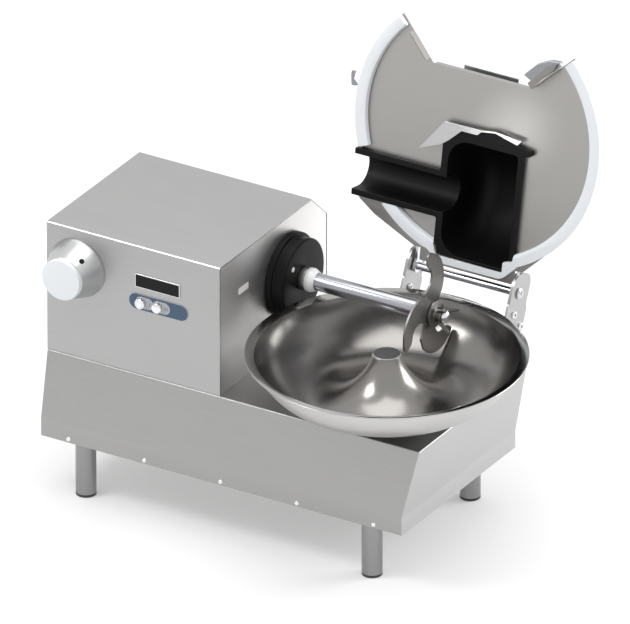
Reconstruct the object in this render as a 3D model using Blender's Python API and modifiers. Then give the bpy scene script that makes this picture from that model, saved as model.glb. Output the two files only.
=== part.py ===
"""Meat bowl cutter for a kitchen table.

A motor housing stands on a folded steel base. A long shaft leaves the housing over a turning
bowl and carries three sickle knives. A hinged lid with a moulded knife cover closes over them.
Lengths are metres. X runs from the housing to the bowl, Y from front to back, Z up.
Until the last step every place is counted from the front left corner of the deck.
"""
import math

import bmesh
import bpy
from mathutils import Matrix, Vector

# Clearances
gap = 0.0003             # between pieces that touch
running = 0.0003         # between a shaft and what it turns in

# Base of folded sheet
deck_length = 0.780
deck_depth = 0.377
skirt_height = 0.129
band_height = 0.035
front_lean = 0.024       # the front skirt leans out by this
side_lean = 0.022        # the right skirt leans in by this
base_sheet = 0.002
pan_sheet = 0.0015
pan_lip = 0.020
base_bend = 0.002

# Legs
leg_radius = 0.019
leg_wall = 0.002
leg_height = 0.110
leg_inset_x = 0.0785
leg_inset_y = 0.028
leg_stud_radius = 0.005
leg_stud_length = 0.018
foot_thickness = 0.005
foot_plug = 0.015

# Motor housing
house_length = 0.363
house_depth = 0.375
house_height = 0.258
house_front = 0.001
house_sheet = 0.0015
house_bend = 0.003
chamfer_run = 0.055
chamfer_drop = 0.052
end_recess = 0.001
vent_slot_length = 0.060
vent_slot_height = 0.005
vent_pitch = 0.014
vent_rows = 6

# Knife shaft and what turns with it
shaft_y = 0.236
shaft_z = 0.145
shaft_radius = 0.016
shaft_end_radius = 0.010
shaft_left = 0.018
knife_seat_radius = 0.012
thread_radius = 0.008
collar_radius = 0.022
collar_length = 0.012
sleeve_length = 0.017
pulley_seat_radius = 0.014

# Bowl
bowl_x = 0.650
bowl_y = 0.104
channel_radius = 0.110   # inside of the ring channel, centred on the shaft's height
bowl_wall = 0.003
bowl_rim_radius = 0.2555
bowl_rim_z = 0.1195
bowl_brim_z = 0.1155     # where the channel turns into the brim
cone_top_z = 0.115
cap_radius = 0.024
cap_height = 0.0038
spindle_radius = 0.016
spindle_bush_radius = 0.012
spindle_stud_radius = 0.008
spigot_radius = 0.030    # of the spindle's housing, through the deck
spigot_clearance = 0.0005

# Knives
knife_radius = 0.105
knife_thickness = 0.004
knife_pitch = 0.011      # from one knife to the next along the shaft
knife_first = 0.644
knife_count = 3
knife_hub_radius = 0.021
nut_flange_radius = 0.025
nut_flange = 0.004
nut_neck = 0.011
wing_count = 3

# Cover round the shaft where it leaves the housing
cover_flange_radius = 0.084
cover_flange = 0.012
cover_radius = 0.073
cover_depth = 0.0347
cover_edge = 0.003

# Attachment hub on the front
hub_x = 0.065
hub_z = 0.181
hub_base_radius = 0.057
hub_nose_radius = 0.0395
hub_reach = 0.050
hub_bore_radius = 0.0175
hub_tube_radius = 0.026
hub_tube_end = 0.215
hub_bush_radius = 0.020
pto_radius = 0.012
plug_flange = 0.008
plug_stem = 0.030
clamp_hole_radius = 0.005
clamp_hole_y = -0.033
clamp_hole_angle = 50.0

# Buttons
panel_x = 0.235
panel_z = 0.147
panel_length = 0.122
panel_height = 0.030
panel_sheet = 0.0012
start_x = 0.200
stop_x = 0.235
button_radius = 0.011
button_stem_radius = 0.007
button_reach = 0.009
button_travel = 0.003

# Gears
gear_module = 0.002
backlash = 0.00035       # taken off each flank
pto_teeth = 24
pto_starts = 3
bowl_teeth = 40
pto_worm_radius = 0.012
bowl_worm_radius = 0.010
pto_gear_width = 0.012
bowl_gear_width = 0.014
pto_worm_x = hub_x
pto_worm_length = 0.032
bowl_worm_length = 0.040
gear_z = -0.060

# Belts and pulleys
belt_width = 0.010
belt_height = 0.008
pulley_rim = 0.004       # rim beside the belt, each side
pulley_rim_rise = 0.001
motor_belt_x = 0.106
bowl_belt_x = 0.132
motor_belt_radius = 0.032
bowl_drive_radius = 0.020
bowl_driven_radius = 0.040

# Motor
motor_y = 0.100
motor_z = 0.085
motor_radius = 0.062
motor_left = 0.150
motor_right = 0.300
motor_fins = 18
motor_fin = 0.004
motor_shaft_radius = 0.008

# Gear case under the deck
case_wall = 0.006
case_clear = 0.005
worm_shaft_radius = 0.012
worm_core_end = 0.690
snout_radius = 0.022
snout_left = 0.150

# Lid, drawn closed about its hinge and turned open at rest
hinge_back = 0.028       # from the bowl's rim back to the hinge
hinge_z = 0.1421
lid_inset = 0.002        # the lid's rim lies this far inside the bowl's
rim_seat = 0.002         # the closed rim stands this far over the bowl's
lid_open = 100.0
rim_depth = 0.0117
rim_width = 0.023
lobe_drop = 0.0065       # the rim's lower end reaches this far past its circle
lobe_left = -0.085
lobe_right = 0.112
lid_sheet = 0.002
handle_left = -0.044
handle_right = 0.066
handle_inset = 0.010
handle_foot = 0.018
handle_rise = 0.026
handle_sheet = 0.002
mouth_left = -0.108      # ends of the straight front edge
mouth_right = 0.096
mouth_v = 0.103
tip_angle = 45.5
tip_gap = 1.0
skin_left = -0.098
skin_inset = 0.0005
skin_clear = 0.008       # from the hinge rod to the skin
wing_inset = 0.0185
wing_v = -0.182
mouth_flange_drop = 0.0034   # below the rim's underside
cover_shell = 0.003
drum_root = 0.003        # the drum reaches this far down into the cover's flange
drum_round_left = 0.040
drum_round_right = 0.008
chamber_left = -0.0525
chamber_right = 0.0895
chamber_clearance = 0.003
flange_left_lip = 0.014
flange_right_lip = 0.0085
flange_front_v = -0.0045
flange_draft = 0.0006
flange_foot = 0.0035     # below the drum
foot_step_left = 0.0075
foot_step_right = 0.020
foot_step_height = 0.019
catch_reach = 0.0175     # the small ear on the flange's right
catch_v = -0.0142
catch_half = 0.0065
duct_radius = 0.033
duct_lip = 0.0115
duct_left = -0.244
deflector_sheet = 0.0015
rod_radius = 0.0075
rod_washer = 0.0110
bracket_sheet = 0.006
bracket_lean = 23.5
bracket_left_x = 0.536
bracket_right_x = 0.754
arm_sheet = 0.006
arm_gap = 0.002
arm_eye = 0.0125
arm_length = 0.055

hinge_y = bowl_y + bowl_rim_radius + hinge_back
lid_reach = hinge_y - bowl_y
lid_radius = bowl_rim_radius - lid_inset
rim_low = bowl_rim_z + rim_seat - hinge_z
chamber_radius = knife_radius + chamber_clearance
floor_z = -(skirt_height + band_height + leg_height)
deck_under = -base_sheet
band_length = deck_length - side_lean
pan_z = -(skirt_height + band_height)
pto_gear_radius = gear_module * pto_teeth / 2
bowl_gear_radius = gear_module * bowl_teeth / 2
worm_y = bowl_y + bowl_gear_radius + bowl_worm_radius

PARTS = "meat_bowl_cutter"
quarter = math.pi / 2
along_x = (0.0, quarter, 0.0)
along_y = (-quarter, 0.0, 0.0)

for old in list(bpy.data.objects):
    bpy.data.objects.remove(old, do_unlink=True)
parts = bpy.data.collections.new(PARTS)
cutters = bpy.data.collections.new("cutters")
for group in (parts, cutters):
    bpy.context.scene.collection.children.link(group)


# Materials

def material(name, colour, roughness, metallic=0.0):
    made = bpy.data.materials.new(name)
    made.use_nodes = True
    shader = made.node_tree.nodes["Principled BSDF"]
    shader.inputs["Base Color"].default_value = (*colour, 1.0)
    shader.inputs["Roughness"].default_value = roughness
    shader.inputs["Metallic"].default_value = metallic
    made.diffuse_color = (*colour, 1.0)
    return made


brushed = material("brushed_steel", (0.48, 0.48, 0.47), 0.38, 1.0)
polished = material("polished_steel", (0.55, 0.54, 0.53), 0.18, 1.0)
chrome = material("chrome", (0.72, 0.72, 0.74), 0.08, 1.0)
blade_steel = material("blade_steel", (0.30, 0.29, 0.28), 0.35, 1.0)
cast_aluminium = material("cast_aluminium", (0.70, 0.70, 0.70), 0.32, 1.0)
cast_iron = material("cast_iron", (0.14, 0.15, 0.16), 0.6, 0.4)
bronze = material("bronze", (0.55, 0.36, 0.16), 0.35, 1.0)
black_plastic = material("black_plastic", (0.018, 0.018, 0.019), 0.45)
white_plastic = material("white_plastic", (0.86, 0.88, 0.89), 0.4)
panel_blue = material("panel_blue", (0.085, 0.13, 0.20), 0.4)
rubber = material("rubber", (0.02, 0.02, 0.02), 0.8)
motor_paint = material("motor_paint", (0.10, 0.13, 0.17), 0.5)


# Shapes

def axis_empty(name, location, rotation=(0, 0, 0), parent=None):
    empty = bpy.data.objects.new(name, None)
    empty.empty_display_size = 0.05
    empty.location = location
    empty.rotation_euler = rotation
    empty.parent = parent
    bpy.context.scene.collection.objects.link(empty)
    return empty


def place(name, mesh, look, parent, location=(0, 0, 0), rotation=(0, 0, 0)):
    """A piece of the machine, or a cutter where look is None."""
    made = bpy.data.objects.new(name, mesh)
    made.parent = parent
    made.location = location
    made.rotation_euler = rotation
    if look is None:
        made.hide_render = True
        made.display_type = "WIRE"
        cutters.objects.link(made)
    else:
        mesh.materials.append(look)
        parts.objects.link(made)
    return made


def block(name, low, high, look, parent):
    mesh = bpy.data.meshes.new(name)
    shape = bmesh.new()
    bmesh.ops.create_cube(shape, size=1.0)
    size = [b - a for a, b in zip(low, high)]
    middle = [(a + b) / 2 for a, b in zip(low, high)]
    bmesh.ops.transform(
        shape,
        matrix=Matrix.Translation(middle) @ Matrix.Diagonal((*size, 1.0)),
        verts=shape.verts,
    )
    shape.to_mesh(mesh)
    shape.free()
    return place(name, mesh, look, parent)


def turned(name, profile, look, parent, steps=20, ring=False, location=(0, 0, 0), rotation=(0, 0, 0)):
    """A solid of revolution about local Z; profile is (radius, height) from the top down."""
    mesh = bpy.data.meshes.new(name)
    edges = [(i, i + 1) for i in range(len(profile) - 1)]
    if ring:
        edges.append((len(profile) - 1, 0))
    mesh.from_pydata([(r, 0.0, z) for r, z in profile], edges, [])
    made = place(name, mesh, look, parent, location, rotation)
    screw = made.modifiers.new("turn", "SCREW")
    screw.axis = "Z"
    screw.steps = steps
    screw.render_steps = steps
    screw.use_merge_vertices = True
    screw.merge_threshold = 0.00001
    return made


def arc(cx, cy, radius, start, end, count):
    """Points on a circle, from one angle in degrees to the other."""
    angles = [math.radians(start + (end - start) * i / count) for i in range(count + 1)]
    return [(cx + radius * math.cos(a), cy + radius * math.sin(a)) for a in angles]


def circle(cx, cy, radius, count=24):
    return arc(cx, cy, radius, 0.0, 360.0, count)[:-1]


def slot(cx, cy, length, height, count=6):
    """A stadium, long along the first axis."""
    r = height / 2
    half = length / 2 - r
    return arc(cx + half, cy, r, -90, 90, count) + arc(cx - half, cy, r, 90, 270, count)


def box_outline(x0, y0, x1, y1):
    return [(x0, y0), (x1, y0), (x1, y1), (x0, y1)]


def softened(points, radius, count=4, closed=True):
    """The same outline with each corner rounded by an arc."""
    made = []
    total = len(points)
    for i, here in enumerate(points):
        if not closed and i in (0, total - 1):
            made.append(tuple(here))
            continue
        corner = Vector(here)
        back = Vector(points[i - 1]) - corner
        ahead = Vector(points[(i + 1) % total]) - corner
        half = back.angle(ahead) / 2
        if abs(half - quarter) < 0.02:
            made.append(tuple(here))
            continue
        cut = min(radius / math.tan(half), 0.45 * min(back.length, ahead.length))
        r = cut * math.tan(half)
        middle = corner + (back.normalized() + ahead.normalized()).normalized() * (r / math.sin(half))
        first = corner + back.normalized() * cut - middle
        last = corner + ahead.normalized() * cut - middle
        turn = first.angle_signed(last)
        for k in range(count + 1):
            step = first.copy()
            step.rotate(Matrix.Rotation(-turn * k / count, 2))
            made.append(tuple(middle + step))
    return made


def offset_path(path, distance):
    """An open path moved to its left by a distance, with mitred corners."""
    made = []
    for i, here in enumerate(path):
        normals = []
        for a, b in ((i - 1, i), (i, i + 1)):
            if a >= 0 and b < len(path):
                run = (Vector(path[b]) - Vector(path[a])).normalized()
                normals.append(Vector((-run.y, run.x)))
        mean = sum(normals, Vector((0.0, 0.0))).normalized()
        made.append(tuple(Vector(here) + mean * (distance / mean.dot(normals[0]))))
    return made


def flat(name, outlines, low, high, look, parent, location=(0, 0, 0), rotation=(0, 0, 0)):
    """A flat piece between two local heights; outlines after the first are its holes."""
    curve = bpy.data.curves.new(name, "CURVE")
    curve.dimensions = "2D"
    curve.fill_mode = "BOTH"
    curve.extrude = (high - low) / 2
    for outline in outlines:
        spline = curve.splines.new("POLY")
        spline.points.add(len(outline) - 1)
        spline.use_cyclic_u = True
        for point, (x, y) in zip(spline.points, outline):
            point.co = (x, y, 0.0, 1.0)
    drawn = bpy.data.objects.new(name + "_drawn", curve)
    cutters.objects.link(drawn)
    bpy.context.view_layer.update()
    mesh = bpy.data.meshes.new_from_object(drawn.evaluated_get(bpy.context.evaluated_depsgraph_get()))
    bpy.data.objects.remove(drawn, do_unlink=True)
    mesh.materials.clear()
    shape = bmesh.new()
    shape.from_mesh(mesh)
    bmesh.ops.remove_doubles(shape, verts=shape.verts, dist=0.000001)
    bmesh.ops.translate(shape, verts=shape.verts, vec=(0.0, 0.0, (low + high) / 2))
    bmesh.ops.recalc_face_normals(shape, faces=shape.faces)
    shape.to_mesh(mesh)
    shape.free()
    return place(name, mesh, look, parent, location, rotation)


def boolean(target, tool, operation):
    made = target.modifiers.new(tool.name, "BOOLEAN")
    made.operation = operation
    made.object = tool
    made.solver = "EXACT"


def cut(target, *tools):
    for tool in tools:
        boolean(target, tool, "DIFFERENCE")


def join(target, *tools):
    for tool in tools:
        boolean(target, tool, "UNION")


def rounded_edges(target, width, segments=2, angle=40):
    bevel = target.modifiers.new("rounded_edges", "BEVEL")
    bevel.width = width
    bevel.segments = segments
    bevel.limit_method = "ANGLE"
    bevel.angle_limit = math.radians(angle)
    return bevel


def swept(name, sections, look, parent, closed, location=(0, 0, 0), rotation=(0, 0, 0)):
    """A loft through like sections, as a belt or a screw thread needs."""
    mesh = bpy.data.meshes.new(name)
    shape = bmesh.new()
    rings = [[shape.verts.new(p) for p in section] for section in sections]
    size = len(rings[0])
    for i in range(len(rings) if closed else len(rings) - 1):
        near, far = rings[i], rings[(i + 1) % len(rings)]
        for k in range(size):
            shape.faces.new((near[k], near[(k + 1) % size], far[(k + 1) % size], far[k]))
    if not closed:
        shape.faces.new(reversed(rings[0]))
        shape.faces.new(rings[-1])
    bmesh.ops.recalc_face_normals(shape, faces=shape.faces)
    shape.to_mesh(mesh)
    shape.free()
    return place(name, mesh, look, parent, location, rotation)


# Places that other pieces are parented to; each moving body has one on its joint's axis
datum = axis_empty("machine_datum", (0, 0, 0))
knife_axis = axis_empty("knife_axis", (0, shaft_y, shaft_z), along_x, datum)
motor_axis = axis_empty("motor_axis", (0, motor_y, motor_z), along_x, datum)
worm_axis = axis_empty("worm_axis", (0, worm_y, gear_z), along_x, datum)
pto_axis = axis_empty("pto_axis", (hub_x, 0, hub_z), along_y, datum)
bowl_axis = axis_empty("bowl_axis", (bowl_x, bowl_y, 0), (0, 0, 0), datum)
start_axis = axis_empty("start_axis", (start_x, 0, panel_z), along_y, datum)
stop_axis = axis_empty("stop_axis", (stop_x, 0, panel_z), along_y, datum)
lid_hinge = axis_empty("lid_hinge", (bowl_x, hinge_y, hinge_z), (-math.radians(lid_open), 0, 0), datum)


# Base

def base_shell():
    """Deck, leaning skirts and upright band of one folded sheet, open below."""
    rings = (
        (0.0, deck_length, 0.0, deck_depth, 0.0),
        (0.0, band_length, -front_lean, deck_depth, -skirt_height),
        (0.0, band_length, -front_lean, deck_depth, pan_z),
    )
    mesh = bpy.data.meshes.new("base_shell")
    shape = bmesh.new()
    made = []
    for x0, x1, y0, y1, z in rings:
        made.append([shape.verts.new((x, y, z)) for x, y in box_outline(x0, y0, x1, y1)])
    shape.faces.new(made[0])
    for upper, lower in zip(made, made[1:]):
        for k in range(4):
            nxt = (k + 1) % 4
            shape.faces.new((upper[k], lower[k], lower[nxt], upper[nxt]))
    folds = [e for e in shape.edges if not e.is_boundary]
    bmesh.ops.bevel(shape, geom=folds, offset=base_bend, segments=2, affect="EDGES", profile=0.5)
    bmesh.ops.recalc_face_normals(shape, faces=shape.faces)
    shape.to_mesh(mesh)
    shape.free()
    shell = place("base_shell", mesh, brushed, datum)
    wall = shell.modifiers.new("sheet", "SOLIDIFY")
    wall.thickness = base_sheet
    wall.offset = -1.0
    wall.use_even_offset = True
    deck_bore = spigot_radius + spigot_clearance
    spindle_hole = turned(
        "deck_spindle_hole", [(0, 0.01), (deck_bore, 0.01), (deck_bore, -0.01), (0, -0.01)],
        None, bowl_axis,
    )
    belt_slot = block(
        "deck_belt_slot",
        (bowl_belt_x - 0.011, worm_y - bowl_driven_radius - 0.012, -0.01),
        (bowl_belt_x + 0.011, shaft_y + 0.012, 0.01),
        None, datum,
    )
    cut(shell, spindle_hole, belt_slot)
    return shell


base_shell()


def bottom_pan():
    """Tray that closes the base, its lip inside the band where the screws catch it."""
    inside = base_sheet + gap
    x0, x1 = inside, band_length - inside
    y0, y1 = -front_lean + inside, deck_depth - inside
    pan = block("bottom_pan", (x0, y0, pan_z), (x1, y1, pan_z + pan_lip), brushed, datum)
    hollow = block(
        "pan_hollow", (x0 + pan_sheet, y0 + pan_sheet, pan_z + pan_sheet),
        (x1 - pan_sheet, y1 - pan_sheet, pan_z + pan_lip + 0.01), None, datum,
    )
    cut(pan, hollow)
    for name, x, y in leg_places:
        hole = turned(
            "pan_hole_" + name, [(0, 0.01), (leg_stud_radius + 0.0005, 0.01), (leg_stud_radius + 0.0005, -0.01), (0, -0.01)],
            None, datum, steps=12, location=(x, y, pan_z),
        )
        cut(pan, hole)
    return pan


leg_left_x, leg_right_x = leg_inset_x, band_length - leg_inset_x
leg_front_y, leg_rear_y = -front_lean + leg_inset_y, deck_depth - leg_inset_y
leg_places = (
    ("front_left", leg_left_x, leg_front_y), ("front_right", leg_right_x, leg_front_y),
    ("rear_left", leg_left_x, leg_rear_y), ("rear_right", leg_right_x, leg_rear_y),
)
bottom_pan()


def leg(name, x, y):
    """Tube with a welded top and a stud that goes up through the pan."""
    tube_length = leg_height - foot_thickness - 2 * gap
    turned(
        "leg_" + name,
        [
            (0, leg_stud_length), (leg_stud_radius, leg_stud_length), (leg_stud_radius, 0),
            (leg_radius, 0), (leg_radius, -tube_length), (leg_radius - leg_wall, -tube_length),
            (leg_radius - leg_wall, -0.006), (0, -0.006),
        ],
        brushed, datum, steps=20, location=(x, y, pan_z - gap),
    )
    inner = leg_radius - leg_wall - gap
    turned(
        "foot_" + name,
        [
            (0, foot_plug), (inner - 0.001, foot_plug), (inner, foot_plug - 0.001), (inner, 0),
            (leg_radius, 0), (leg_radius, -foot_thickness + 0.001),
            (leg_radius - 0.001, -foot_thickness), (0, -foot_thickness),
        ],
        black_plastic, datum, steps=20, location=(x, y, floor_z + foot_thickness),
    )


for leg_name, leg_x, leg_y in leg_places:
    leg(leg_name, leg_x, leg_y)


# Motor housing

def housing_path():
    """Outside of the wrapped sheet seen from the right: front, top, sloping corner, back."""
    y1 = house_front + house_depth
    corners = [
        (house_front, gap), (house_front, house_height), (y1 - chamfer_run, house_height),
        (y1, house_height - chamfer_drop), (y1, gap),
    ]
    return softened(corners, house_bend, 3, closed=False)


def end_outline():
    """Outline of an end plate, inside the wrapped sheet."""
    return offset_path(housing_path(), -(house_sheet + gap))


def upright(outline):
    """Turn (Y, Z) points into the local (X, Y) of a piece that is stood across the X axis."""
    return [(-z, y) for y, z in outline]


outside = housing_path()
inside_path = offset_path(outside, -house_sheet)
wrapper = flat(
    "housing_wrapper", [upright(outside + inside_path[::-1])], 0.0, house_length,
    brushed, datum, rotation=along_x,
)
cut(
    wrapper,
    turned(
        "wrapper_hub_hole",
        [(0, 0.02), (hub_tube_radius + 0.009, 0.02), (hub_tube_radius + 0.009, -0.02), (0, -0.02)],
        None, pto_axis,
    ),
)
for button_axis, button_name in ((start_axis, "start"), (stop_axis, "stop")):
    cut(
        wrapper,
        turned(
            "wrapper_hole_" + button_name,
            [(0, 0.01), (button_stem_radius + 0.001, 0.01), (button_stem_radius + 0.001, -0.01), (0, -0.01)],
            None, button_axis, steps=16,
        ),
    )
gland_x, gland_z, gland_radius = 0.060, 0.050, 0.008
gland_axis = axis_empty("gland_axis", (gland_x, house_front + house_depth, gland_z), along_y, datum)
cut(
    wrapper,
    turned(
        "wrapper_gland_hole",
        [(0, 0.01), (gland_radius + gap, 0.01), (gland_radius + gap, -0.01), (0, -0.01)],
        None, gland_axis, steps=16,
    ),
)
turned(
    "cable_gland",
    [
        (0.0045, 0.022), (0.0085, 0.022), (0.011, 0.014), (0.011, gap), (gland_radius, gap),
        (gland_radius, -0.012), (0.0045, -0.012),
    ],
    black_plastic, gland_axis, steps=16, ring=True,
)

vents = [
    [(-z, y) for y, z in slot(y, 0.050 + vent_pitch * row, vent_slot_length, vent_slot_height, 3)]
    for row in range(vent_rows) for y in (0.110, 0.265)
]
flat(
    "housing_left_plate", [upright(end_outline()), *vents], end_recess, end_recess + house_sheet,
    brushed, datum, rotation=along_x,
)
window = (0.0685, 0.1745, 0.1015, 0.1870)
quill_spigot = 0.045
flat(
    "housing_right_plate",
    [
        upright(end_outline()),
        upright(circle(shaft_y, shaft_z, quill_spigot + gap, 36)),
        upright(box_outline(*window)),
    ],
    house_length - end_recess - house_sheet, house_length - end_recess,
    brushed, datum, rotation=along_x,
)
right_face = house_length - end_recess
right_inside = right_face - house_sheet


def safety_switch():
    """Lid switch behind the window of the right plate, its white face flush with the plate."""
    y0, z0, y1, z1 = window
    body = block(
        "safety_switch", (right_inside - gap - 0.028, y0 - 0.004, z0 - 0.006),
        (right_inside - gap, y1 + 0.004, z1 + 0.006), white_plastic, datum,
    )
    nose = block(
        "switch_nose", (right_inside - 0.01, y0 + gap, z0 + gap), (right_face + 0.0006, y1 - gap, z1 - gap),
        None, datum,
    )
    join(body, nose)


safety_switch()


# Buttons and the panel that they stand on

panel_back = house_front - gap
panel_front = panel_back - panel_sheet
flat(
    "control_panel",
    [
        slot(panel_x, -panel_z, panel_length, panel_height, 10),
        circle(start_x, -panel_z, button_stem_radius + 0.0008),
        circle(stop_x, -panel_z, button_stem_radius + 0.0008),
    ],
    panel_front, panel_back, panel_blue, datum, rotation=along_y,
)
switch_front = house_front + house_sheet + gap
switch = block(
    "switch_block", (start_x - 0.018, switch_front, panel_z - 0.016),
    (stop_x + 0.018, switch_front + 0.040, panel_z + 0.016), black_plastic, datum,
)
button_top = -(button_reach - panel_front)
for button_axis, button_name in ((start_axis, "start"), (stop_axis, "stop")):
    cut(
        switch,
        turned(
            "switch_bore_" + button_name,
            [(0, 0.020), (button_stem_radius + running, 0.020), (button_stem_radius + running, -0.01), (0, -0.01)],
            None, button_axis, steps=16,
        ),
    )


def button(name, parent, crown):
    """Metal push button; the stem runs in the switch block and the head stands off the panel."""
    head_back = panel_front - button_travel - gap
    head_front = panel_front - button_reach
    turned(
        name,
        [
            (0, switch_front + 0.012), (button_stem_radius, switch_front + 0.012),
            (button_stem_radius, head_back), (button_radius, head_back),
            (button_radius, head_front + 0.0015), (button_radius - 0.0015, head_front),
            (0, head_front - crown),
        ],
        polished, parent, steps=20,
    )


button("start_button", start_axis, 0.0)
button("stop_button", stop_axis, 0.001)


# Attachment hub: its local Z is the machine's +Y

hub_mouth = -hub_reach
hub = turned(
    "hub_casting",
    [
        (hub_bush_radius + gap, hub_tube_end), (hub_tube_radius, hub_tube_end),
        (hub_tube_radius, house_front + house_sheet + 0.006),
        (hub_tube_radius + 0.0085, house_front + house_sheet + 0.006),
        (hub_tube_radius + 0.0085, house_front - gap), (hub_base_radius, house_front - gap),
        (hub_base_radius, house_front - 0.004), (hub_nose_radius + 0.0012, hub_mouth + 0.0012),
        (hub_nose_radius, hub_mouth), (hub_bore_radius, hub_mouth),
        (hub_bore_radius, 0.022), (hub_bush_radius + gap, 0.022),
    ],
    cast_aluminium, pto_axis, steps=32, ring=True,
)
clamp_turn = math.radians(clamp_hole_angle)
cut(
    hub,
    turned(
        "hub_clamp_hole",
        [(0, hub_base_radius + 0.01), (clamp_hole_radius, hub_base_radius + 0.01), (clamp_hole_radius, 0.008), (0, 0.008)],
        None, pto_axis, steps=12, location=(0, 0, clamp_hole_y), rotation=(0, quarter, -clamp_turn),
    ),
)
turned(
    "hub_bush",
    [
        (pto_radius + running, hub_tube_end - 0.002), (hub_bush_radius, hub_tube_end - 0.002),
        (hub_bush_radius, 0.022 + gap), (pto_radius + running, 0.022 + gap),
    ],
    bronze, pto_axis, steps=20, ring=True,
)
plug_back = hub_mouth - gap
turned(
    "hub_plug",
    [
        (0, hub_mouth + plug_stem), (hub_bore_radius - 0.0015, hub_mouth + plug_stem),
        (hub_bore_radius - gap, hub_mouth + plug_stem - 0.0015), (hub_bore_radius - gap, plug_back),
        (hub_nose_radius, plug_back), (hub_nose_radius, plug_back - 0.003),
        (hub_nose_radius - 0.0008, plug_back - 0.0035), (hub_nose_radius, plug_back - 0.004),
        (hub_nose_radius, plug_back - plug_flange + 0.002),
        (hub_nose_radius - 0.002, plug_back - plug_flange), (0, plug_back - plug_flange),
    ],
    white_plastic, pto_axis, steps=32,
)


# Gears and worms

tooth_half = gear_module * math.pi / 4 - backlash
addendum = gear_module * 0.8
dedendum = gear_module * 1.25
flank = math.tan(math.radians(20))


def gear(name, teeth, starts, worm_radius, width, bore, face_turn, look, parent, height):
    """Helical wheel whose tooth gap faces the worm; the twist follows the worm's lead."""
    pitch = gear_module * teeth / 2
    lead_slope = gear_module * starts / (2 * worm_radius)
    levels = 2
    sections = []
    for level in range(levels + 1):
        z = width * (level / levels - 0.5)
        twist = face_turn + z * lead_slope / pitch
        section = []
        for tooth in range(teeth):
            middle = twist + 2 * math.pi * (tooth + 0.5) / teeth
            for r, side in (
                (pitch - dedendum, -1), (pitch + addendum, -1), (pitch + addendum, 1), (pitch - dedendum, 1),
            ):
                half = tooth_half - (r - pitch) * flank
                angle = middle + side * half / r
                section.append((r * math.cos(angle), r * math.sin(angle), height + z))
        sections.append(section)
    wheel = swept(name, sections, look, parent, closed=False)
    reach = width
    cut(
        wheel,
        turned(name + "_bore", [(0, height + reach), (bore, height + reach), (bore, height - reach), (0, height - reach)],
               None, parent, steps=20),
    )
    return wheel


def worm_thread(name, starts, start, pitch, centre, length, face_turn, parent):
    """One right-hand thread about local Z whose crest passes the wheel's middle at face_turn."""
    per_turn = 10
    lead = starts * gear_module * math.pi
    root = pitch - dedendum - 0.0006
    crest = pitch + addendum
    count = round(length / lead * per_turn)
    sections = []
    for i in range(count + 1):
        height = length * (i / count - 0.5)
        angle = face_turn + 2 * math.pi * (height / lead + start / starts)
        section = []
        for r, side in ((root, -1), (crest, -1), (crest, 1), (root, 1)):
            half = tooth_half - (r - pitch) * flank
            section.append((r * math.cos(angle), r * math.sin(angle), centre + height + side * half))
        sections.append(section)
    return swept(name, sections, None, parent, closed=False)


# Knife shaft: local Z is the machine's +X, local X its -Z

knife_last = knife_first + knife_pitch * (knife_count - 1) + knife_thickness
nut_start = knife_last + gap
shaft_right = nut_start + 0.020
pto_core = pto_worm_radius - dedendum
pto_worm_start = pto_worm_x - pto_worm_length / 2 - 0.004
pto_worm_end = pto_worm_x + pto_worm_length / 2 + 0.004
pulley_left = motor_belt_x - belt_width / 2 - pulley_rim
pulley_right = bowl_belt_x + belt_width / 2 + pulley_rim
shaft = turned(
    "knife_shaft",
    [
        (0, shaft_right), (thread_radius, shaft_right), (thread_radius, knife_last),
        (knife_seat_radius, knife_last), (knife_seat_radius, knife_first - gap),
        (shaft_radius, knife_first - gap), (shaft_radius, pulley_right + 0.004),
        (pulley_seat_radius, pulley_right + 0.004), (pulley_seat_radius, pto_worm_end),
        (pto_core, pto_worm_end), (pto_core, pto_worm_start), (shaft_end_radius, pto_worm_start),
        (shaft_end_radius, shaft_left), (0, shaft_left),
    ],
    polished, knife_axis, steps=20,
)
towards_up = math.pi
for thread in range(pto_starts):
    join(shaft, worm_thread(
        f"pto_thread_{thread}", pto_starts, thread, pto_worm_radius, pto_worm_x, pto_worm_length,
        towards_up, knife_axis,
    ))

turned(
    "shaft_collar",
    [
        (shaft_radius + gap, right_face + gap + cover_depth + gap + collar_length),
        (collar_radius, right_face + gap + cover_depth + gap + collar_length),
        (collar_radius, right_face + gap + cover_depth + gap),
        (shaft_radius + gap, right_face + gap + cover_depth + gap),
    ],
    brushed, knife_axis, steps=24, ring=True,
)
sleeve_start = right_face + cover_depth + collar_length + 3 * gap
turned(
    "shaft_sleeve",
    [
        (shaft_radius + gap, sleeve_start + sleeve_length), (shaft_radius + 0.0015, sleeve_start + sleeve_length),
        (collar_radius, sleeve_start + sleeve_length * 0.35), (collar_radius, sleeve_start),
        (shaft_radius + gap, sleeve_start),
    ],
    white_plastic, knife_axis, steps=24, ring=True,
)


blade_edge = (
    (0.0442, -0.0010), (0.0587, 0.0084), (0.0673, 0.0196), (0.0717, 0.0380), (0.0700, 0.0562),
    (0.0616, 0.0775), (0.0500, 0.0905), (0.0370, 0.0975), (0.0270, 0.1010), (0.0190, 0.1032),
    (0.0150, 0.0930), (0.0160, 0.0808), (0.0270, 0.0690), (0.0304, 0.0577), (0.0270, 0.0450),
    (0.0183, 0.0363), (0.0050, 0.0300), (-0.0077, 0.0269),
)


def knife_outline():
    """Sickle blade that grows out of its ring; the first point is the notch below the heel."""
    ring = arc(0, 0, knife_hub_radius, 112, 335, 11)
    return [(-z, y) for y, z in list(blade_edge) + ring]


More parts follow.
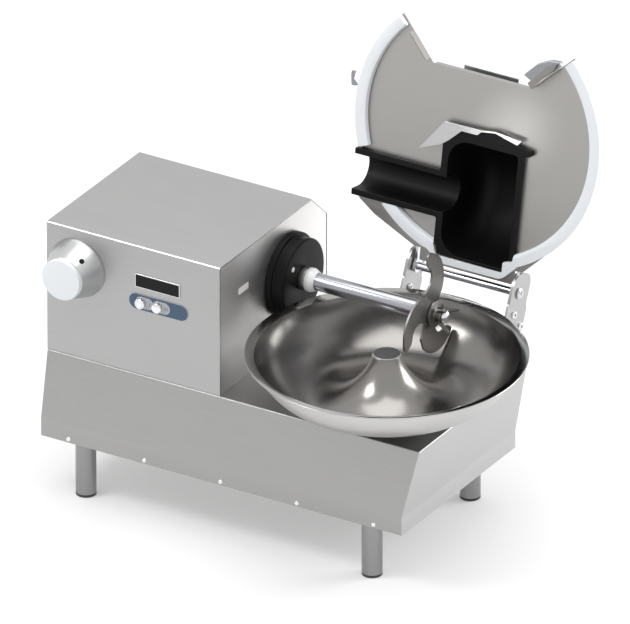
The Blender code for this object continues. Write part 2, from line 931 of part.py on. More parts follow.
def knife(name, seat, turn):
    """One blade on the shaft, turned about it; all but the last carry the ring that spaces them."""
    start = knife_first + knife_pitch * seat
    blade = flat(
        name, [knife_outline(), circle(0, 0, knife_seat_radius + gap, 20)],
        start, start + knife_thickness, blade_steel, knife_axis, rotation=(0, 0, math.radians(turn)),
    )
    if seat < knife_count - 1:
        spacer_end = start + knife_pitch - gap
        ring = turned(
            name + "_spacer",
            [
                (knife_seat_radius + gap, spacer_end), (knife_hub_radius - 0.002, spacer_end),
                (knife_hub_radius - 0.002, start + 0.001), (knife_seat_radius + gap, start + 0.001),
            ],
            None, knife_axis, steps=20, ring=True, rotation=(0, 0, math.radians(turn)),
        )
        join(blade, ring)


knife("knife_rear", 0, 0.0)
knife("knife_middle", 1, 240.0)
knife("knife_front", 2, 120.0)


def knife_nut():
    """Wing nut: a flange on the knives, three wings and a domed end."""
    nut = turned(
        "knife_nut",
        [
            (0, nut_start + 0.029), (0.005, nut_start + 0.0283), (0.009, nut_start + 0.0258),
            (nut_neck, nut_start + 0.0225), (nut_neck, nut_start + 0.013), (0.0165, nut_start + 0.0065),
            (0.0180, nut_start + nut_flange), (nut_flange_radius - 0.0015, nut_start + nut_flange),
            (nut_flange_radius, nut_start + nut_flange - 0.0015), (nut_flange_radius, nut_start),
            (thread_radius + gap, nut_start), (thread_radius + gap, nut_start + 0.0205),
            (0, nut_start + 0.0205),
        ],
        chrome, knife_axis, steps=20,
    )
    for wing in range(wing_count):
        fin = flat(
            f"nut_wing_{wing}",
            [softened([
                (nut_neck - 0.001, nut_start + 0.009), (0.0160, nut_start + 0.0055), (0.0235, nut_start + 0.0075),
                (0.0240, nut_start + 0.0150), (0.0170, nut_start + 0.0210), (nut_neck - 0.001, nut_start + 0.0235),
            ], 0.002, 2)],
            -0.0022, 0.0022, None, knife_axis,
        )
        fin.rotation_euler = (quarter, 0, math.radians(80 + 360 * wing / wing_count))
        join(nut, fin)


knife_nut()


# Bearings and housings of the knife shaft

quill_left = 0.270
bearing_left = 0.318
bearing_width = 0.022
bearing_radius = 0.031
quill_radius = 0.042
quill_end = right_inside - gap
quill = turned(
    "shaft_quill",
    [
        (bearing_radius + gap, right_face - 0.0006), (quill_spigot, right_face - 0.0006),
        (quill_spigot, quill_end), (0.062, quill_end), (0.062, quill_end - 0.009),
        (quill_radius, quill_end - 0.009), (quill_radius, quill_left), (shaft_radius + 0.003, quill_left),
        (shaft_radius + 0.003, bearing_left - gap), (bearing_radius + gap, bearing_left - gap),
    ],
    cast_iron, knife_axis, steps=28, ring=True,
)
quill_foot = flat(
    "quill_foot",
    [upright([
        (shaft_y - 0.050, gap), (shaft_y + 0.050, gap), (shaft_y + 0.050, 0.010), (shaft_y + 0.026, 0.014),
        (shaft_y + 0.020, shaft_z - 0.0365), (shaft_y - 0.020, shaft_z - 0.0365),
        (shaft_y - 0.026, 0.014), (shaft_y - 0.050, 0.010),
    ])],
    quill_left + 0.010, quill_end - 0.012, None, datum, rotation=along_x,
)
join(quill, quill_foot)
turned(
    "main_bearing",
    [
        (shaft_radius + running, bearing_left + bearing_width), (bearing_radius, bearing_left + bearing_width),
        (bearing_radius, bearing_left), (shaft_radius + running, bearing_left),
    ],
    polished, knife_axis, steps=28, ring=True,
)
cover_start = right_face + gap
cover_end = cover_start + cover_depth
turned(
    "shaft_cover",
    [
        (shaft_radius + 0.0015, cover_end), (cover_radius - cover_edge, cover_end),
        (cover_radius - cover_edge * 0.3, cover_end - cover_edge * 0.3), (cover_radius, cover_end - cover_edge),
        (cover_radius, cover_start + cover_flange + 0.002), (cover_radius + 0.002, cover_start + cover_flange),
        (cover_flange_radius - 0.0015, cover_start + cover_flange),
        (cover_flange_radius, cover_start + cover_flange - 0.0015), (cover_flange_radius, cover_start),
        (shaft_radius + 0.0015, cover_start),
    ],
    black_plastic, knife_axis, steps=40, ring=True,
)
left_block_start = shaft_left + 0.002
flat(
    "left_bearing_block",
    [
        upright(
            [(shaft_y - 0.042, gap), (shaft_y + 0.042, gap), (shaft_y + 0.042, 0.012), (shaft_y + 0.020, 0.016)]
            + arc(shaft_y, shaft_z, 0.020, 0, 180, 12)
            + [(shaft_y - 0.020, 0.016), (shaft_y - 0.042, 0.012)]
        ),
        upright(circle(shaft_y, shaft_z, shaft_end_radius + running)),
    ],
    left_block_start, left_block_start + 0.016, cast_iron, datum, rotation=along_x,
)


# Pulleys and belts

def groove(x, belt_radius):
    """Outer side of a pulley groove, from the right edge of its rim to the left one."""
    top = belt_radius + belt_height / 2 + pulley_rim_rise
    low = belt_radius - belt_height / 2 - gap
    half_top = belt_width / 2 + gap
    half_low = belt_width / 2 * 0.6 + gap
    return [
        (top, x + belt_width / 2 + pulley_rim), (top, x + half_top), (low, x + half_low),
        (low, x - half_low), (top, x - half_top), (top, x - belt_width / 2 - pulley_rim),
    ]


def pulley(name, grooves, bore, parent):
    profile = []
    for x, belt_radius in grooves:
        profile += groove(x, belt_radius)
    low, high = profile[-1][1], profile[0][1]
    turned(name, profile + [(bore, low), (bore, high)], cast_iron, parent, steps=24, ring=True)


pulley(
    "shaft_pulley", [(bowl_belt_x, bowl_drive_radius), (motor_belt_x, motor_belt_radius)],
    pulley_seat_radius + gap, knife_axis,
)
pulley("motor_pulley", [(motor_belt_x, motor_belt_radius)], motor_shaft_radius + gap, motor_axis)
pulley("worm_pulley", [(bowl_belt_x, bowl_driven_radius)], worm_shaft_radius + gap, worm_axis)


def belt(name, x, first, first_radius, second, second_radius):
    """V belt in a plane across X, round two pulleys whose middles are (Y, Z) points."""
    a, b = Vector(first), Vector(second)
    run = b - a
    heading = math.atan2(run.y, run.x)
    lean = math.acos((first_radius - second_radius) / run.length)
    path = []
    count = 14
    wraps = (
        (a, first_radius, heading + lean, heading + 2 * math.pi - lean),
        (b, second_radius, heading - lean, heading + lean),
    )
    for centre, radius, start, end in wraps:
        for i in range(count + 1):
            angle = start + (end - start) * i / count
            path.append((centre, radius, angle))
    half = belt_height / 2
    sections = []
    for centre, radius, angle in path:
        section = []
        for side, reach in ((-0.5, half), (0.5, half), (0.3, -half), (-0.3, -half)):
            r = (radius + reach + (gap if reach < 0 else 0)) / math.cos(math.pi / 2 / count * 0.5)
            section.append((x + side * belt_width, centre.x + r * math.cos(angle), centre.y + r * math.sin(angle)))
        sections.append(section)
    return swept(name, sections, rubber, datum, closed=True)


belt("motor_belt", motor_belt_x, (shaft_y, shaft_z), motor_belt_radius, (motor_y, motor_z), motor_belt_radius)
belt("bowl_belt", bowl_belt_x, (shaft_y, shaft_z), bowl_drive_radius, (worm_y, gear_z), bowl_driven_radius)


# Motor

def fin_outline():
    points = []
    for fin in range(motor_fins):
        for r, share in ((motor_radius - motor_fin, 0.0), (motor_radius - motor_fin, 0.5),
                         (motor_radius, 0.55), (motor_radius, 0.95)):
            a = 2 * math.pi * (fin + share) / motor_fins
            points.append((r * math.cos(a), r * math.sin(a)))
    return points


motor = flat(
    "motor_frame", [fin_outline(), circle(0, 0, motor_shaft_radius + running)],
    motor_left, motor_right, motor_paint, motor_axis,
)
join(
    motor,
    block("motor_foot", (motor_left + 0.015, motor_y - 0.048, gap), (motor_right - 0.015, motor_y + 0.048, 0.008),
          None, datum),
    block("motor_saddle", (motor_left + 0.030, motor_y - 0.030, 0.004), (motor_right - 0.030, motor_y + 0.030, 0.035),
          None, datum),
    block("motor_terminal_box", (motor_left + 0.040, motor_y - 0.030, motor_z + motor_radius - 0.010),
          (motor_right - 0.050, motor_y + 0.030, motor_z + motor_radius + 0.024), None, datum),
)
turned(
    "motor_shaft",
    [
        (0, motor_right + 0.006), (motor_shaft_radius, motor_right + 0.006),
        (motor_shaft_radius, motor_belt_x - 0.012), (0, motor_belt_x - 0.012),
    ],
    polished, motor_axis, steps=16,
)


# Power take-off in the attachment hub: local Z is the machine's +Y

pto_end = shaft_y + pto_gear_width / 2 + 0.010
spindle = turned(
    "pto_spindle",
    [
        (0, pto_end), (pto_radius, pto_end), (pto_radius, 0.020), (hub_bore_radius - 0.0015, 0.020),
        (hub_bore_radius - 0.0015, -0.010), (0, -0.010),
    ],
    polished, pto_axis, steps=20,
)
socket_half = 0.0055
cut(spindle, block(
    "pto_socket", (-socket_half, -socket_half, -0.020), (socket_half, socket_half, 0.012), None, pto_axis,
))
pto_down = quarter
gear(
    "pto_wheel", pto_teeth, pto_starts, pto_worm_radius, pto_gear_width, pto_radius + gap,
    pto_down, bronze, pto_axis, shaft_y,
)


# Bowl drive below the deck

worm_core = bowl_worm_radius - dedendum
worm_start = bowl_x - bowl_worm_length / 2 - 0.003
worm_end = bowl_x + bowl_worm_length / 2 + 0.003
worm_left = bowl_belt_x - belt_width / 2 - pulley_rim - 0.004
worm_shaft = turned(
    "worm_shaft",
    [
        (0, worm_core_end + 0.022), (worm_core, worm_core_end + 0.022), (worm_core, worm_start),
        (worm_shaft_radius, worm_start), (worm_shaft_radius, worm_left), (0, worm_left),
    ],
    polished, worm_axis, steps=20,
)
towards_front = -quarter
join(worm_shaft, worm_thread(
    "bowl_thread", 1, 0, bowl_worm_radius, bowl_x, bowl_worm_length, towards_front, worm_axis,
))
gear(
    "bowl_wheel", bowl_teeth, 1, bowl_worm_radius, bowl_gear_width, spindle_radius - 0.002 + gap,
    quarter, bronze, bowl_axis, gear_z,
)

case_reach = bowl_gear_radius + addendum + case_clear
case_x0 = bowl_x - case_reach - 0.010
case_x1 = bowl_x + case_reach + 0.010
case_y0 = bowl_y - case_reach
case_y1 = worm_y + bowl_worm_radius + addendum + case_clear
case_top = deck_under - gap
case_low = gear_z - 0.030
case = block(
    "gear_case", (case_x0 - case_wall, case_y0 - case_wall, case_low - case_wall),
    (case_x1 + case_wall, case_y1 + case_wall, case_top), cast_iron, datum,
)
cavity = block(
    "case_cavity", (case_x0, case_y0, case_low), (case_x1, case_y1, case_top + 0.01), None, datum,
)
snout = turned(
    "case_snout",
    [
        (0, case_x0 - 0.001), (snout_radius, case_x0 - 0.001), (snout_radius, snout_left), (0, snout_left),
    ],
    None, worm_axis,
)
snout_bore = turned(
    "snout_bore",
    [
        (0, case_x0 + 0.01), (worm_shaft_radius + running, case_x0 + 0.01),
        (worm_shaft_radius + running, snout_left - 0.01), (0, snout_left - 0.01),
    ],
    None, worm_axis,
)
end_bore = turned(
    "case_end_bore",
    [
        (0, case_x1 + 0.02), (worm_core + running, case_x1 + 0.02), (worm_core + running, case_x1 - 0.01),
        (0, case_x1 - 0.01),
    ],
    None, worm_axis, steps=16,
)
step_boss = turned(
    "case_step_boss",
    [
        (spindle_bush_radius + running, case_low + 0.014), (0.020, case_low + 0.014), (0.020, case_low - 0.001),
        (spindle_bush_radius + running, case_low - 0.001),
    ],
    None, bowl_axis, ring=True,
)
cut(case, cavity)
join(case, snout, step_boss)
cut(case, snout_bore, end_bore)

spindle_low = case_low + gap
turned(
    "bowl_spindle",
    [
        (0, cone_top_z + 0.002), (spindle_stud_radius, cone_top_z + 0.002),
        (spindle_stud_radius, cone_top_z - bowl_wall - gap), (0.019, cone_top_z - bowl_wall - gap),
        (0.019, cone_top_z - 0.020), (spindle_radius, cone_top_z - 0.024), (spindle_radius, -0.015),
        (spindle_radius - 0.002, -0.015), (spindle_radius - 0.002, gear_z - bowl_gear_width / 2 - 0.002),
        (spindle_bush_radius, gear_z - bowl_gear_width / 2 - 0.002), (spindle_bush_radius, spindle_low),
        (0, spindle_low),
    ],
    polished, bowl_axis, steps=24,
)
turned(
    "spindle_housing",
    [
        (spindle_radius + running, 0.062), (0.021, 0.062), (0.026, 0.014), (0.050, 0.009),
        (0.050, gap), (spigot_radius, gap), (spigot_radius, -0.012), (spindle_radius + running, -0.012),
    ],
    cast_aluminium, bowl_axis, steps=24, ring=True,
)


# Bowl

channel_r = shaft_y - bowl_y


def channel_arc(radius, z_inner, z_outer, count):
    """Ring channel about the height of the shaft, from the cone's top out to the brim."""
    inner = 180 + math.degrees(math.asin((shaft_z - z_inner) / radius))
    outer = 360 - math.degrees(math.asin((shaft_z - z_outer) / radius))
    return arc(channel_r, shaft_z, radius, inner, outer, count)


def bowl():
    top = channel_arc(channel_radius, cone_top_z, bowl_brim_z, 10)
    under = channel_arc(channel_radius + bowl_wall, cone_top_z - bowl_wall, bowl_brim_z - bowl_wall, 10)
    hole = spindle_stud_radius + gap
    edge = bowl_rim_radius
    profile = (
        [(edge, bowl_rim_z), (edge, bowl_rim_z - bowl_wall)] + under[::-1]
        + [(hole, cone_top_z - bowl_wall), (hole, cone_top_z)] + top
    )
    turned("bowl", profile, polished, bowl_axis, steps=44, ring=True)


bowl()
cap_low = cone_top_z + gap
turned(
    "bowl_cap",
    [
        (0, cap_low + cap_height), (cap_radius - 0.001, cap_low + cap_height),
        (cap_radius, cap_low + cap_height - 0.001), (cap_radius, cap_low),
        (spindle_stud_radius + gap, cap_low), (spindle_stud_radius + gap, cone_top_z + 0.0025),
        (0, cone_top_z + 0.0025),
    ],
    black_plastic, bowl_axis, steps=24,
)


# Lid: local X and Z are the machine's when it is shut, and -Y points to its front

axis_y = shaft_y - hinge_y
axis_h = shaft_z - hinge_z
rim_top = rim_low + rim_depth
skin_low = rim_top + gap
skin_top = skin_low + lid_sheet


def lid_xy(points):
    """Turn (x, v), counted from the lid's middle towards its front, into lid coordinates."""
    return [(x, -lid_reach - v) for x, v in points]


duct_v = -lid_reach - axis_y
duct_half = duct_radius + duct_lip
flange_left = chamber_left - flange_left_lip
flange_right = chamber_right + flange_right_lip
drum_radius = chamber_radius + cover_shell
foot_v = duct_v - drum_radius - flange_foot
step_v = foot_v + foot_step_height
bump = [(0.004, 0.0006), (0.0095, 0.008), (0.038, 0.0125), (0.084, 0.0006)]
frame_points = (
    [
        (duct_left, duct_v + duct_half), (flange_left - flange_draft, duct_v + duct_half),
        (flange_left, flange_front_v),
    ]
    + [(x, flange_front_v + rise) for x, rise in bump]
    + [
        (flange_right, flange_front_v), (flange_right + flange_draft, catch_v + catch_half),
        (flange_right + catch_reach - 0.003, catch_v + catch_half), (flange_right + catch_reach, catch_v),
        (flange_right + catch_reach - 0.003, catch_v - catch_half),
        (flange_right + flange_draft, catch_v - catch_half),
        (flange_right, step_v + 0.006), (flange_right - foot_step_right, step_v),
        (flange_right - foot_step_right, foot_v), (flange_left + foot_step_left, foot_v),
        (flange_left + foot_step_left, step_v - flange_draft), (flange_left, step_v),
        (flange_left - flange_draft, duct_v - duct_half), (duct_left, duct_v - duct_half),
    ]
)


def tunnel(radius, bottom):
    """Upright-sided arch about the shaft, as (Y, Z) points in lid coordinates."""
    return arc(axis_y, axis_h, radius, 0, 180, 18 if radius > 0.06 else 12) + [
        (axis_y - radius, bottom), (axis_y + radius, bottom),
    ]


def across(points):
    return [(-z, y) for y, z in points]


def round_end(drum, x, radius, count, bottom):
    """Round a drum's end along its arch and down its two sides."""
    shape = bmesh.new()
    shape.from_mesh(drum.data)
    in_wall = [e for e in shape.edges if all(abs(v.co.z - x) < 1e-6 for v in e.verts)]
    seams = [e for e in in_wall if all(abs(f.normal.z) > 0.9 for f in e.link_faces)]
    bmesh.ops.dissolve_edges(shape, edges=seams, use_verts=False)
    arched = [
        e for e in shape.edges
        if all(abs(v.co.z - x) < 1e-6 for v in e.verts) and any(-v.co.x > bottom + 1e-6 for v in e.verts)
    ]
    bmesh.ops.bevel(shape, geom=arched, offset=radius, segments=count, affect="EDGES", profile=0.5)
    shape.to_mesh(drum.data)
    shape.free()


def drum_form(name, radius, left_x, right_x, bottom, left_round, right_round):
    drum = flat(name, [across(tunnel(radius, bottom))], left_x, right_x, None, lid_hinge, rotation=along_x)
    round_end(drum, left_x, left_round, 4, bottom)
    round_end(drum, right_x, right_round, 2, bottom)
    return drum


def lid_cover():
    """Moulded knife cover: a drum over the knives and a duct over the shaft, on one flange."""
    cover = flat("lid_cover", [lid_xy(frame_points)], rim_low, rim_top, black_plastic, lid_hinge)
    drum = drum_form(
        "cover_drum", drum_radius, chamber_left - cover_shell, chamber_right + cover_shell, rim_low - 0.02,
        drum_round_left + cover_shell, drum_round_right + cover_shell,
    )
    reach = 2 * lid_radius
    cut(drum, block(
        "drum_trim", (-reach, -2 * reach, rim_low - 0.05), (reach, reach, rim_top - drum_root), None, lid_hinge,
    ))
    duct = flat(
        "cover_duct", [across(tunnel(duct_radius + cover_shell, rim_top - drum_root))],
        duct_left, chamber_left + cover_shell, None, lid_hinge, rotation=along_x,
    )
    drum_hollow = drum_form(
        "drum_hollow", chamber_radius, chamber_left, chamber_right, rim_low - 0.02,
        drum_round_left, drum_round_right,
    )
    duct_hollow = flat(
        "duct_hollow", [across(tunnel(duct_radius, rim_low - 0.01))],
        duct_left - 0.01, chamber_left + 0.02, None, lid_hinge, rotation=along_x,
    )
    join(cover, drum, duct)
    cut(cover, drum_hollow, duct_hollow)


lid_cover()


def ring_arc(radius, start, end, step=4.0):
    return arc(0, 0, radius, start, end, max(2, round(abs(end - start) / step)))


def rim_outline(start, end, lobe):
    """White rim between two angles; its lower end swells out round the cover's."""
    inner = lid_radius - rim_width
    outer = ring_arc(lid_radius, start, end)
    if lobe:
        left_end = 270 + math.degrees(math.asin(lobe_left / lid_radius))
        right_end = 270 + math.degrees(math.asin(lobe_right / lid_radius))
        lobe_v = -(lid_radius + lobe_drop)
        before = ring_arc(lid_radius, start, left_end)
        after = ring_arc(lid_radius, right_end, end)
        swell = softened([
            before[-1], (lobe_left + 0.040, lobe_v), (lobe_right - 0.038, lobe_v), after[0],
        ], 0.030, 4, closed=False)
        outer = before[:-1] + swell + after[1:]
    return outer + ring_arc(inner, end, start)


def frame_cutter(name, low, high):
    """The flange's outline with clearance all round."""
    loop = frame_points + frame_points[:2]
    wide = offset_path(loop, gap)[1:-1]
    return flat(name, [lid_xy(wide)], low, high, None, lid_hinge)


duct_top_angle = 180 + math.degrees(math.asin(-(duct_v + duct_half + gap) / lid_radius))
duct_low_angle = 180 + math.degrees(math.asin(-(duct_v - duct_half - gap) / lid_radius))
flat(
    "lid_rim_left", [lid_xy(rim_outline(180 - tip_angle + tip_gap, duct_top_angle - 0.3, False))],
    rim_low, rim_top, white_plastic, lid_hinge,
)
rim = flat(
    "lid_rim_right", [lid_xy(rim_outline(duct_low_angle - 3.0, 360 + tip_angle - tip_gap, True))],
    rim_low, rim_top, white_plastic, lid_hinge,
)
cut(
    rim,
    frame_cutter("rim_notch", rim_low - 0.01, rim_top + 0.01),
    flat(
        "rim_rebate", [across(tunnel(drum_radius + gap, rim_top - drum_root - gap))],
        chamber_left - cover_shell - gap, chamber_right + cover_shell + gap, None, lid_hinge, rotation=along_x,
    ),
)

skin_radius = lid_radius - skin_inset
skin_right = bracket_right_x - bracket_sheet / 2 - arm_gap - bowl_x
skin_bottom = -(lid_reach - rod_radius - skin_clear)
tip_x = skin_radius * math.cos(math.radians(tip_angle))
tip_v = skin_radius * math.sin(math.radians(tip_angle))


def skin_outline():
    """Steel lid with its front cut away, and tapering behind to the width of the hinge."""
    wing_x = -(lid_radius - wing_inset)
    wing_angle = 180 + math.degrees(math.acos(-wing_x / skin_radius))
    left_wing = [
        (wing_x, wing_v), (-0.198, -(lid_radius - 0.047)), (-0.111, -(lid_radius - 0.0087)),
        (skin_left, -(lid_radius - 0.0087)),
    ]
    right_wing = [(skin_right, -(lid_radius - 0.0127)), (0.114, -(lid_radius - 0.0127))]
    return (
        [(mouth_left, mouth_v)]
        + ring_arc(skin_radius, 180 - tip_angle, wing_angle)
        + left_wing + [(skin_left, skin_bottom), (skin_right, skin_bottom)]
        + right_wing
        + ring_arc(skin_radius, 314, 360 + tip_angle)
        + [(mouth_right, mouth_v)]
    )


def opening(name, x0, x1, half):
    c = duct_v
    return flat(
        name, [lid_xy(box_outline(x0, c - half, x1, c + half))], skin_low - 0.02, skin_top + 0.02, None, lid_hinge,
    )


def lid_panel():
    skin = flat("lid_panel", [lid_xy(skin_outline())], skin_low, skin_top, brushed, lid_hinge)
    cut(
        skin,
        opening("skin_drum_opening", chamber_left - cover_shell - gap, chamber_right + cover_shell + gap,
                drum_radius + gap),
        opening("skin_duct_opening", -2 * lid_radius, chamber_left, duct_radius + cover_shell + gap),
    )
    front_flange = block(
        "front_flange", (mouth_left + 0.003, -lid_reach - mouth_v, skin_low),
        (mouth_right - 0.003, -lid_reach - mouth_v + lid_sheet, skin_top + 0.010), None, lid_hinge,
    )
    join(skin, front_flange)
    low = rim_low - mouth_flange_drop - skin_low
    for side, corner, end in (("left", mouth_left, -tip_x), ("right", mouth_right, tip_x)):
        run = Vector((end - corner, tip_v - mouth_v))
        turn = math.atan2(run.y, run.x)
        flange = block(
            "mouth_flange_" + side,
            (0.010, -lid_sheet / 2, low), (run.length - 0.021, lid_sheet / 2, lid_sheet), None, lid_hinge,
        )
        inward = Vector((-run.y, run.x)).normalized() * (lid_sheet / 2 + 0.0002)
        if side == "right":
            inward = -inward
        flange.location = (corner + inward.x, -lid_reach - mouth_v - inward.y, skin_low)
        flange.rotation_euler = (0, 0, -turn)
        join(skin, flange)
    return skin


lid_panel()

wing_points = [
    (-0.0700, -0.0396), (-0.1141, -0.0570), (-0.0659, 0.0056), (0.0099, 0.0069), (0.0396, 0.0112),
    (0.0941, 0.0058), (0.0860, -0.0035), (0.0396, 0.0080), (0.0099, 0.0035), (0.0030, -0.0040),
    (-0.0296, -0.0044), (-0.0548, -0.0281),
]
flat("lid_deflector", [lid_xy(wing_points)], rim_low - gap - deflector_sheet, rim_low - gap, brushed, lid_hinge)


def lid_handle():
    """Bent strip on the outside, behind the straight front edge."""
    base = skin_top + gap
    y = -lid_reach - mouth_v + handle_inset
    top = base + handle_rise
    grip = block(
        "lid_handle", (handle_left, y, base), (handle_right, y + handle_foot, base + handle_sheet), brushed, lid_hinge,
    )
    join(
        grip,
        block("handle_web", (handle_left, y, base + handle_sheet / 2), (handle_right, y + handle_sheet, top),
              None, lid_hinge),
        block("handle_lip", (handle_left, y, top - handle_sheet), (handle_right, y + handle_foot + handle_sheet, top),
              None, lid_hinge),
    )


lid_handle()


# Hinge

def hinge_arm(name, start):
    """Plate that lies on the outside of the lid and wraps round the hinge rod."""
    seat = skin_top + gap
    outline = (
        arc(0, 0, arm_eye, -70, 100, 9)
        + [(-0.022, 0.0095), (-arm_length, 0.0075), (-arm_length, seat), (-0.0150, seat), (-0.0085, -0.0085)]
    )
    flat(
        name, [across(outline), circle(0, 0, rod_radius + gap)],
        start, start + arm_sheet, polished, lid_hinge, rotation=along_x,
    )


hinge_arm("hinge_arm_left", bracket_left_x + bracket_sheet / 2 + arm_gap - bowl_x)
hinge_arm("hinge_arm_right", bracket_right_x - bracket_sheet / 2 - arm_gap - arm_sheet - bowl_x)
rod_left = bracket_left_x - bracket_sheet / 2 - gap - bowl_x
rod_right = bracket_right_x + bracket_sheet / 2 + gap - bowl_x
turned(
    "hinge_rod",
    [
        (0, rod_right + 0.005), (rod_washer - 0.0035, rod_right + 0.005), (rod_washer, rod_right + 0.003),
        (rod_washer, rod_right), (rod_radius, rod_right), (rod_radius, rod_left), (rod_washer, rod_left),
        (rod_washer, rod_left - 0.003), (rod_washer - 0.0035, rod_left - 0.005), (0, rod_left - 0.005),
    ],
    chrome, lid_hinge, steps=16, rotation=along_x,
)


def leaned(points):
    """Points counted from the hinge across and up the bracket's lean, as (Y, Z) points."""
    lean = math.radians(bracket_lean)
    return [
        (hinge_y + s * math.cos(lean) + t * math.sin(lean), hinge_z - s * math.sin(lean) + t * math.cos(lean))
        for s, t in points
    ]


def foot_of(s):
    """Where the bracket's edge at this distance from the hinge meets the deck."""
    lean = math.radians(bracket_lean)
    t = (s * math.sin(lean) - hinge_z + gap) / math.cos(lean)
    return hinge_y + s * math.cos(lean) + t * math.sin(lean)


def hinge_bracket(name, middle):
    """Leaning post of sheet with a thicker head for the hinge rod, and a foot on the deck."""
    head = (
        arc(0.0040, 0.0070, 0.030, 180, 90, 7) + arc(0.0160, 0.0170, 0.020, 90, 0, 5)
        + [(0.036, -0.0235), (-0.026, -0.0235)]
    )
    plate = flat(
        name, [upright(leaned(head)), upright(circle(hinge_y, hinge_z, rod_radius + gap))],
        middle - bracket_sheet / 2, middle + bracket_sheet / 2, polished, datum, rotation=along_x,
    )
    front_foot = foot_of(-0.028)
    rear_foot = deck_depth - 0.001
    post_outline = leaned([(-0.028, -0.019), (0.043, -0.019), (0.043, -0.060)]) + [
        (rear_foot, 0.020), (rear_foot, gap), (front_foot, gap),
    ]
    post = flat(
        name + "_post", [upright(post_outline)],
        middle - bracket_sheet / 2 + 0.001, middle + bracket_sheet / 2 - 0.001, None, datum, rotation=along_x,
    )
    tab = block(
        name + "_foot", (middle, front_foot + 0.004, gap), (middle + 0.020, rear_foot - 0.004, gap + 0.003), None, datum,
    )
    join(plate, post, tab)


hinge_bracket("hinge_bracket_left", bracket_left_x)
hinge_bracket("hinge_bracket_right", bracket_right_x)


# Finish: shade the round pieces and stand the machine on the origin

def bounds():
    low, high = Vector((9, 9, 9)), Vector((-9, -9, -9))
    for made in parts.objects:
        for vert in made.data.vertices:
            point = made.matrix_world @ vert.co
            low = Vector(map(min, low, point))
            high = Vector(map(max, high, point))
    return low, high


def settle():
    """Keep each evaluated mesh, shaded by angle, and centre the machine over the origin."""
    bpy.context.view_layer.update()
    graph = bpy.context.evaluated_depsgraph_get()
    made = {o: bpy.data.meshes.new_from_object(o.evaluated_get(graph)) for o in parts.objects}
    for piece, mesh in made.items():
        piece.modifiers.clear()
        mesh.name = piece.name
        mesh.shade_smooth()
        mesh.set_sharp_from_angle(angle=math.radians(30))
        piece.data = mesh
    low, high = bounds()
    datum.location = (-(low.x + high.x) / 2, -(low.y + high.y) / 2, -low.z)
    bpy.context.view_layer.update()


settle()
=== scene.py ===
"""Looks of a tabletop meat bowl cutter, built over its packed construction.

Lengths are metres. Places are counted from the front left corner of the deck: X runs from the
housing to the bowl, Y from front to back and Z up. The lid is drawn shut and stands open.
"""
import math

import bmesh
import bpy
from mathutils import Matrix, Vector


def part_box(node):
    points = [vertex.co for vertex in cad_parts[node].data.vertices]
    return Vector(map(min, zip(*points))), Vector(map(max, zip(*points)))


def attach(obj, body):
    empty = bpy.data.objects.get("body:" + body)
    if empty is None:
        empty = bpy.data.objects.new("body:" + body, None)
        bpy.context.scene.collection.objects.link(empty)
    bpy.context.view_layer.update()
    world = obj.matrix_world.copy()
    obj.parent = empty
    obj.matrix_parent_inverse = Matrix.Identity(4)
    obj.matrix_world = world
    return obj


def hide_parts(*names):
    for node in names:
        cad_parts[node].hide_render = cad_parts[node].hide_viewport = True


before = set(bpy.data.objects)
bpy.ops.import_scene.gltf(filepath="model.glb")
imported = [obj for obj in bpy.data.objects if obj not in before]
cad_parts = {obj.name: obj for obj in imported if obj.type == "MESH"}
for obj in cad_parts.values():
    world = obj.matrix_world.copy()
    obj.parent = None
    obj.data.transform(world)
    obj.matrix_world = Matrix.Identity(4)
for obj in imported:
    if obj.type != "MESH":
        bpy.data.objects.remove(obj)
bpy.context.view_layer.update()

# Sizes shared with the construction
gap = 0.0003
deck_length, deck_depth = 0.780, 0.377
skirt_height, band_height = 0.129, 0.035
front_lean, side_lean = 0.024, 0.022
base_sheet, base_drop = 0.002, skirt_height + band_height
house_length, house_depth, house_height = 0.363, 0.375, 0.258
house_front, house_sheet, house_bend = 0.001, 0.0015, 0.003
chamfer_run, chamfer_drop = 0.055, 0.052
shaft_y, shaft_z, shaft_radius, cover_depth = 0.236, 0.145, 0.016, 0.0347
bowl_x, bowl_y = 0.650, 0.104
hub_x, hub_z = 0.065, 0.181
hub_reach, hub_nose, hub_base = 0.050, 0.0395, 0.057
panel_x, panel_z, panel_sheet = 0.235, 0.147, 0.0012
start_x, stop_x = 0.200, 0.235
hinge_y, hinge_z, lid_open = 0.3875, 0.1421, 100.0
lid_reach, lid_radius, rim_width = 0.2835, 0.2535, 0.023
rim_low, rim_top = -0.0206, -0.0089
rod_radius, bracket_left_x, bracket_right_x, bracket_lean = 0.0075, 0.536, 0.754, 23.5
skin_low, skin_top = rim_top + gap, rim_top + gap + 0.002
right_face = house_length - 0.001
leg_height, leg_radius = 0.110, 0.019

# Points this near to each other are one
near = 0.000001

low_corner = Vector(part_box("base_shell")[0])
datum = Matrix.Translation(low_corner - Vector((0.0, -front_lean, -base_drop)))
quarter = math.pi / 2
stood_x = Matrix.Rotation(quarter, 4, "Y")
stood_y = Matrix.Rotation(-quarter, 4, "X")
knife_place = datum @ Matrix.Translation((0, shaft_y, shaft_z)) @ stood_x
hub_place = datum @ Matrix.Translation((hub_x, 0, hub_z)) @ stood_y
front_place = datum @ stood_y
bowl_place = datum @ Matrix.Translation((bowl_x, bowl_y, 0))
lid_place = (
    datum @ Matrix.Translation((bowl_x, hinge_y, hinge_z))
    @ Matrix.Rotation(-math.radians(lid_open), 4, "X")
)
lid_across = lid_place @ stood_x


# Materials

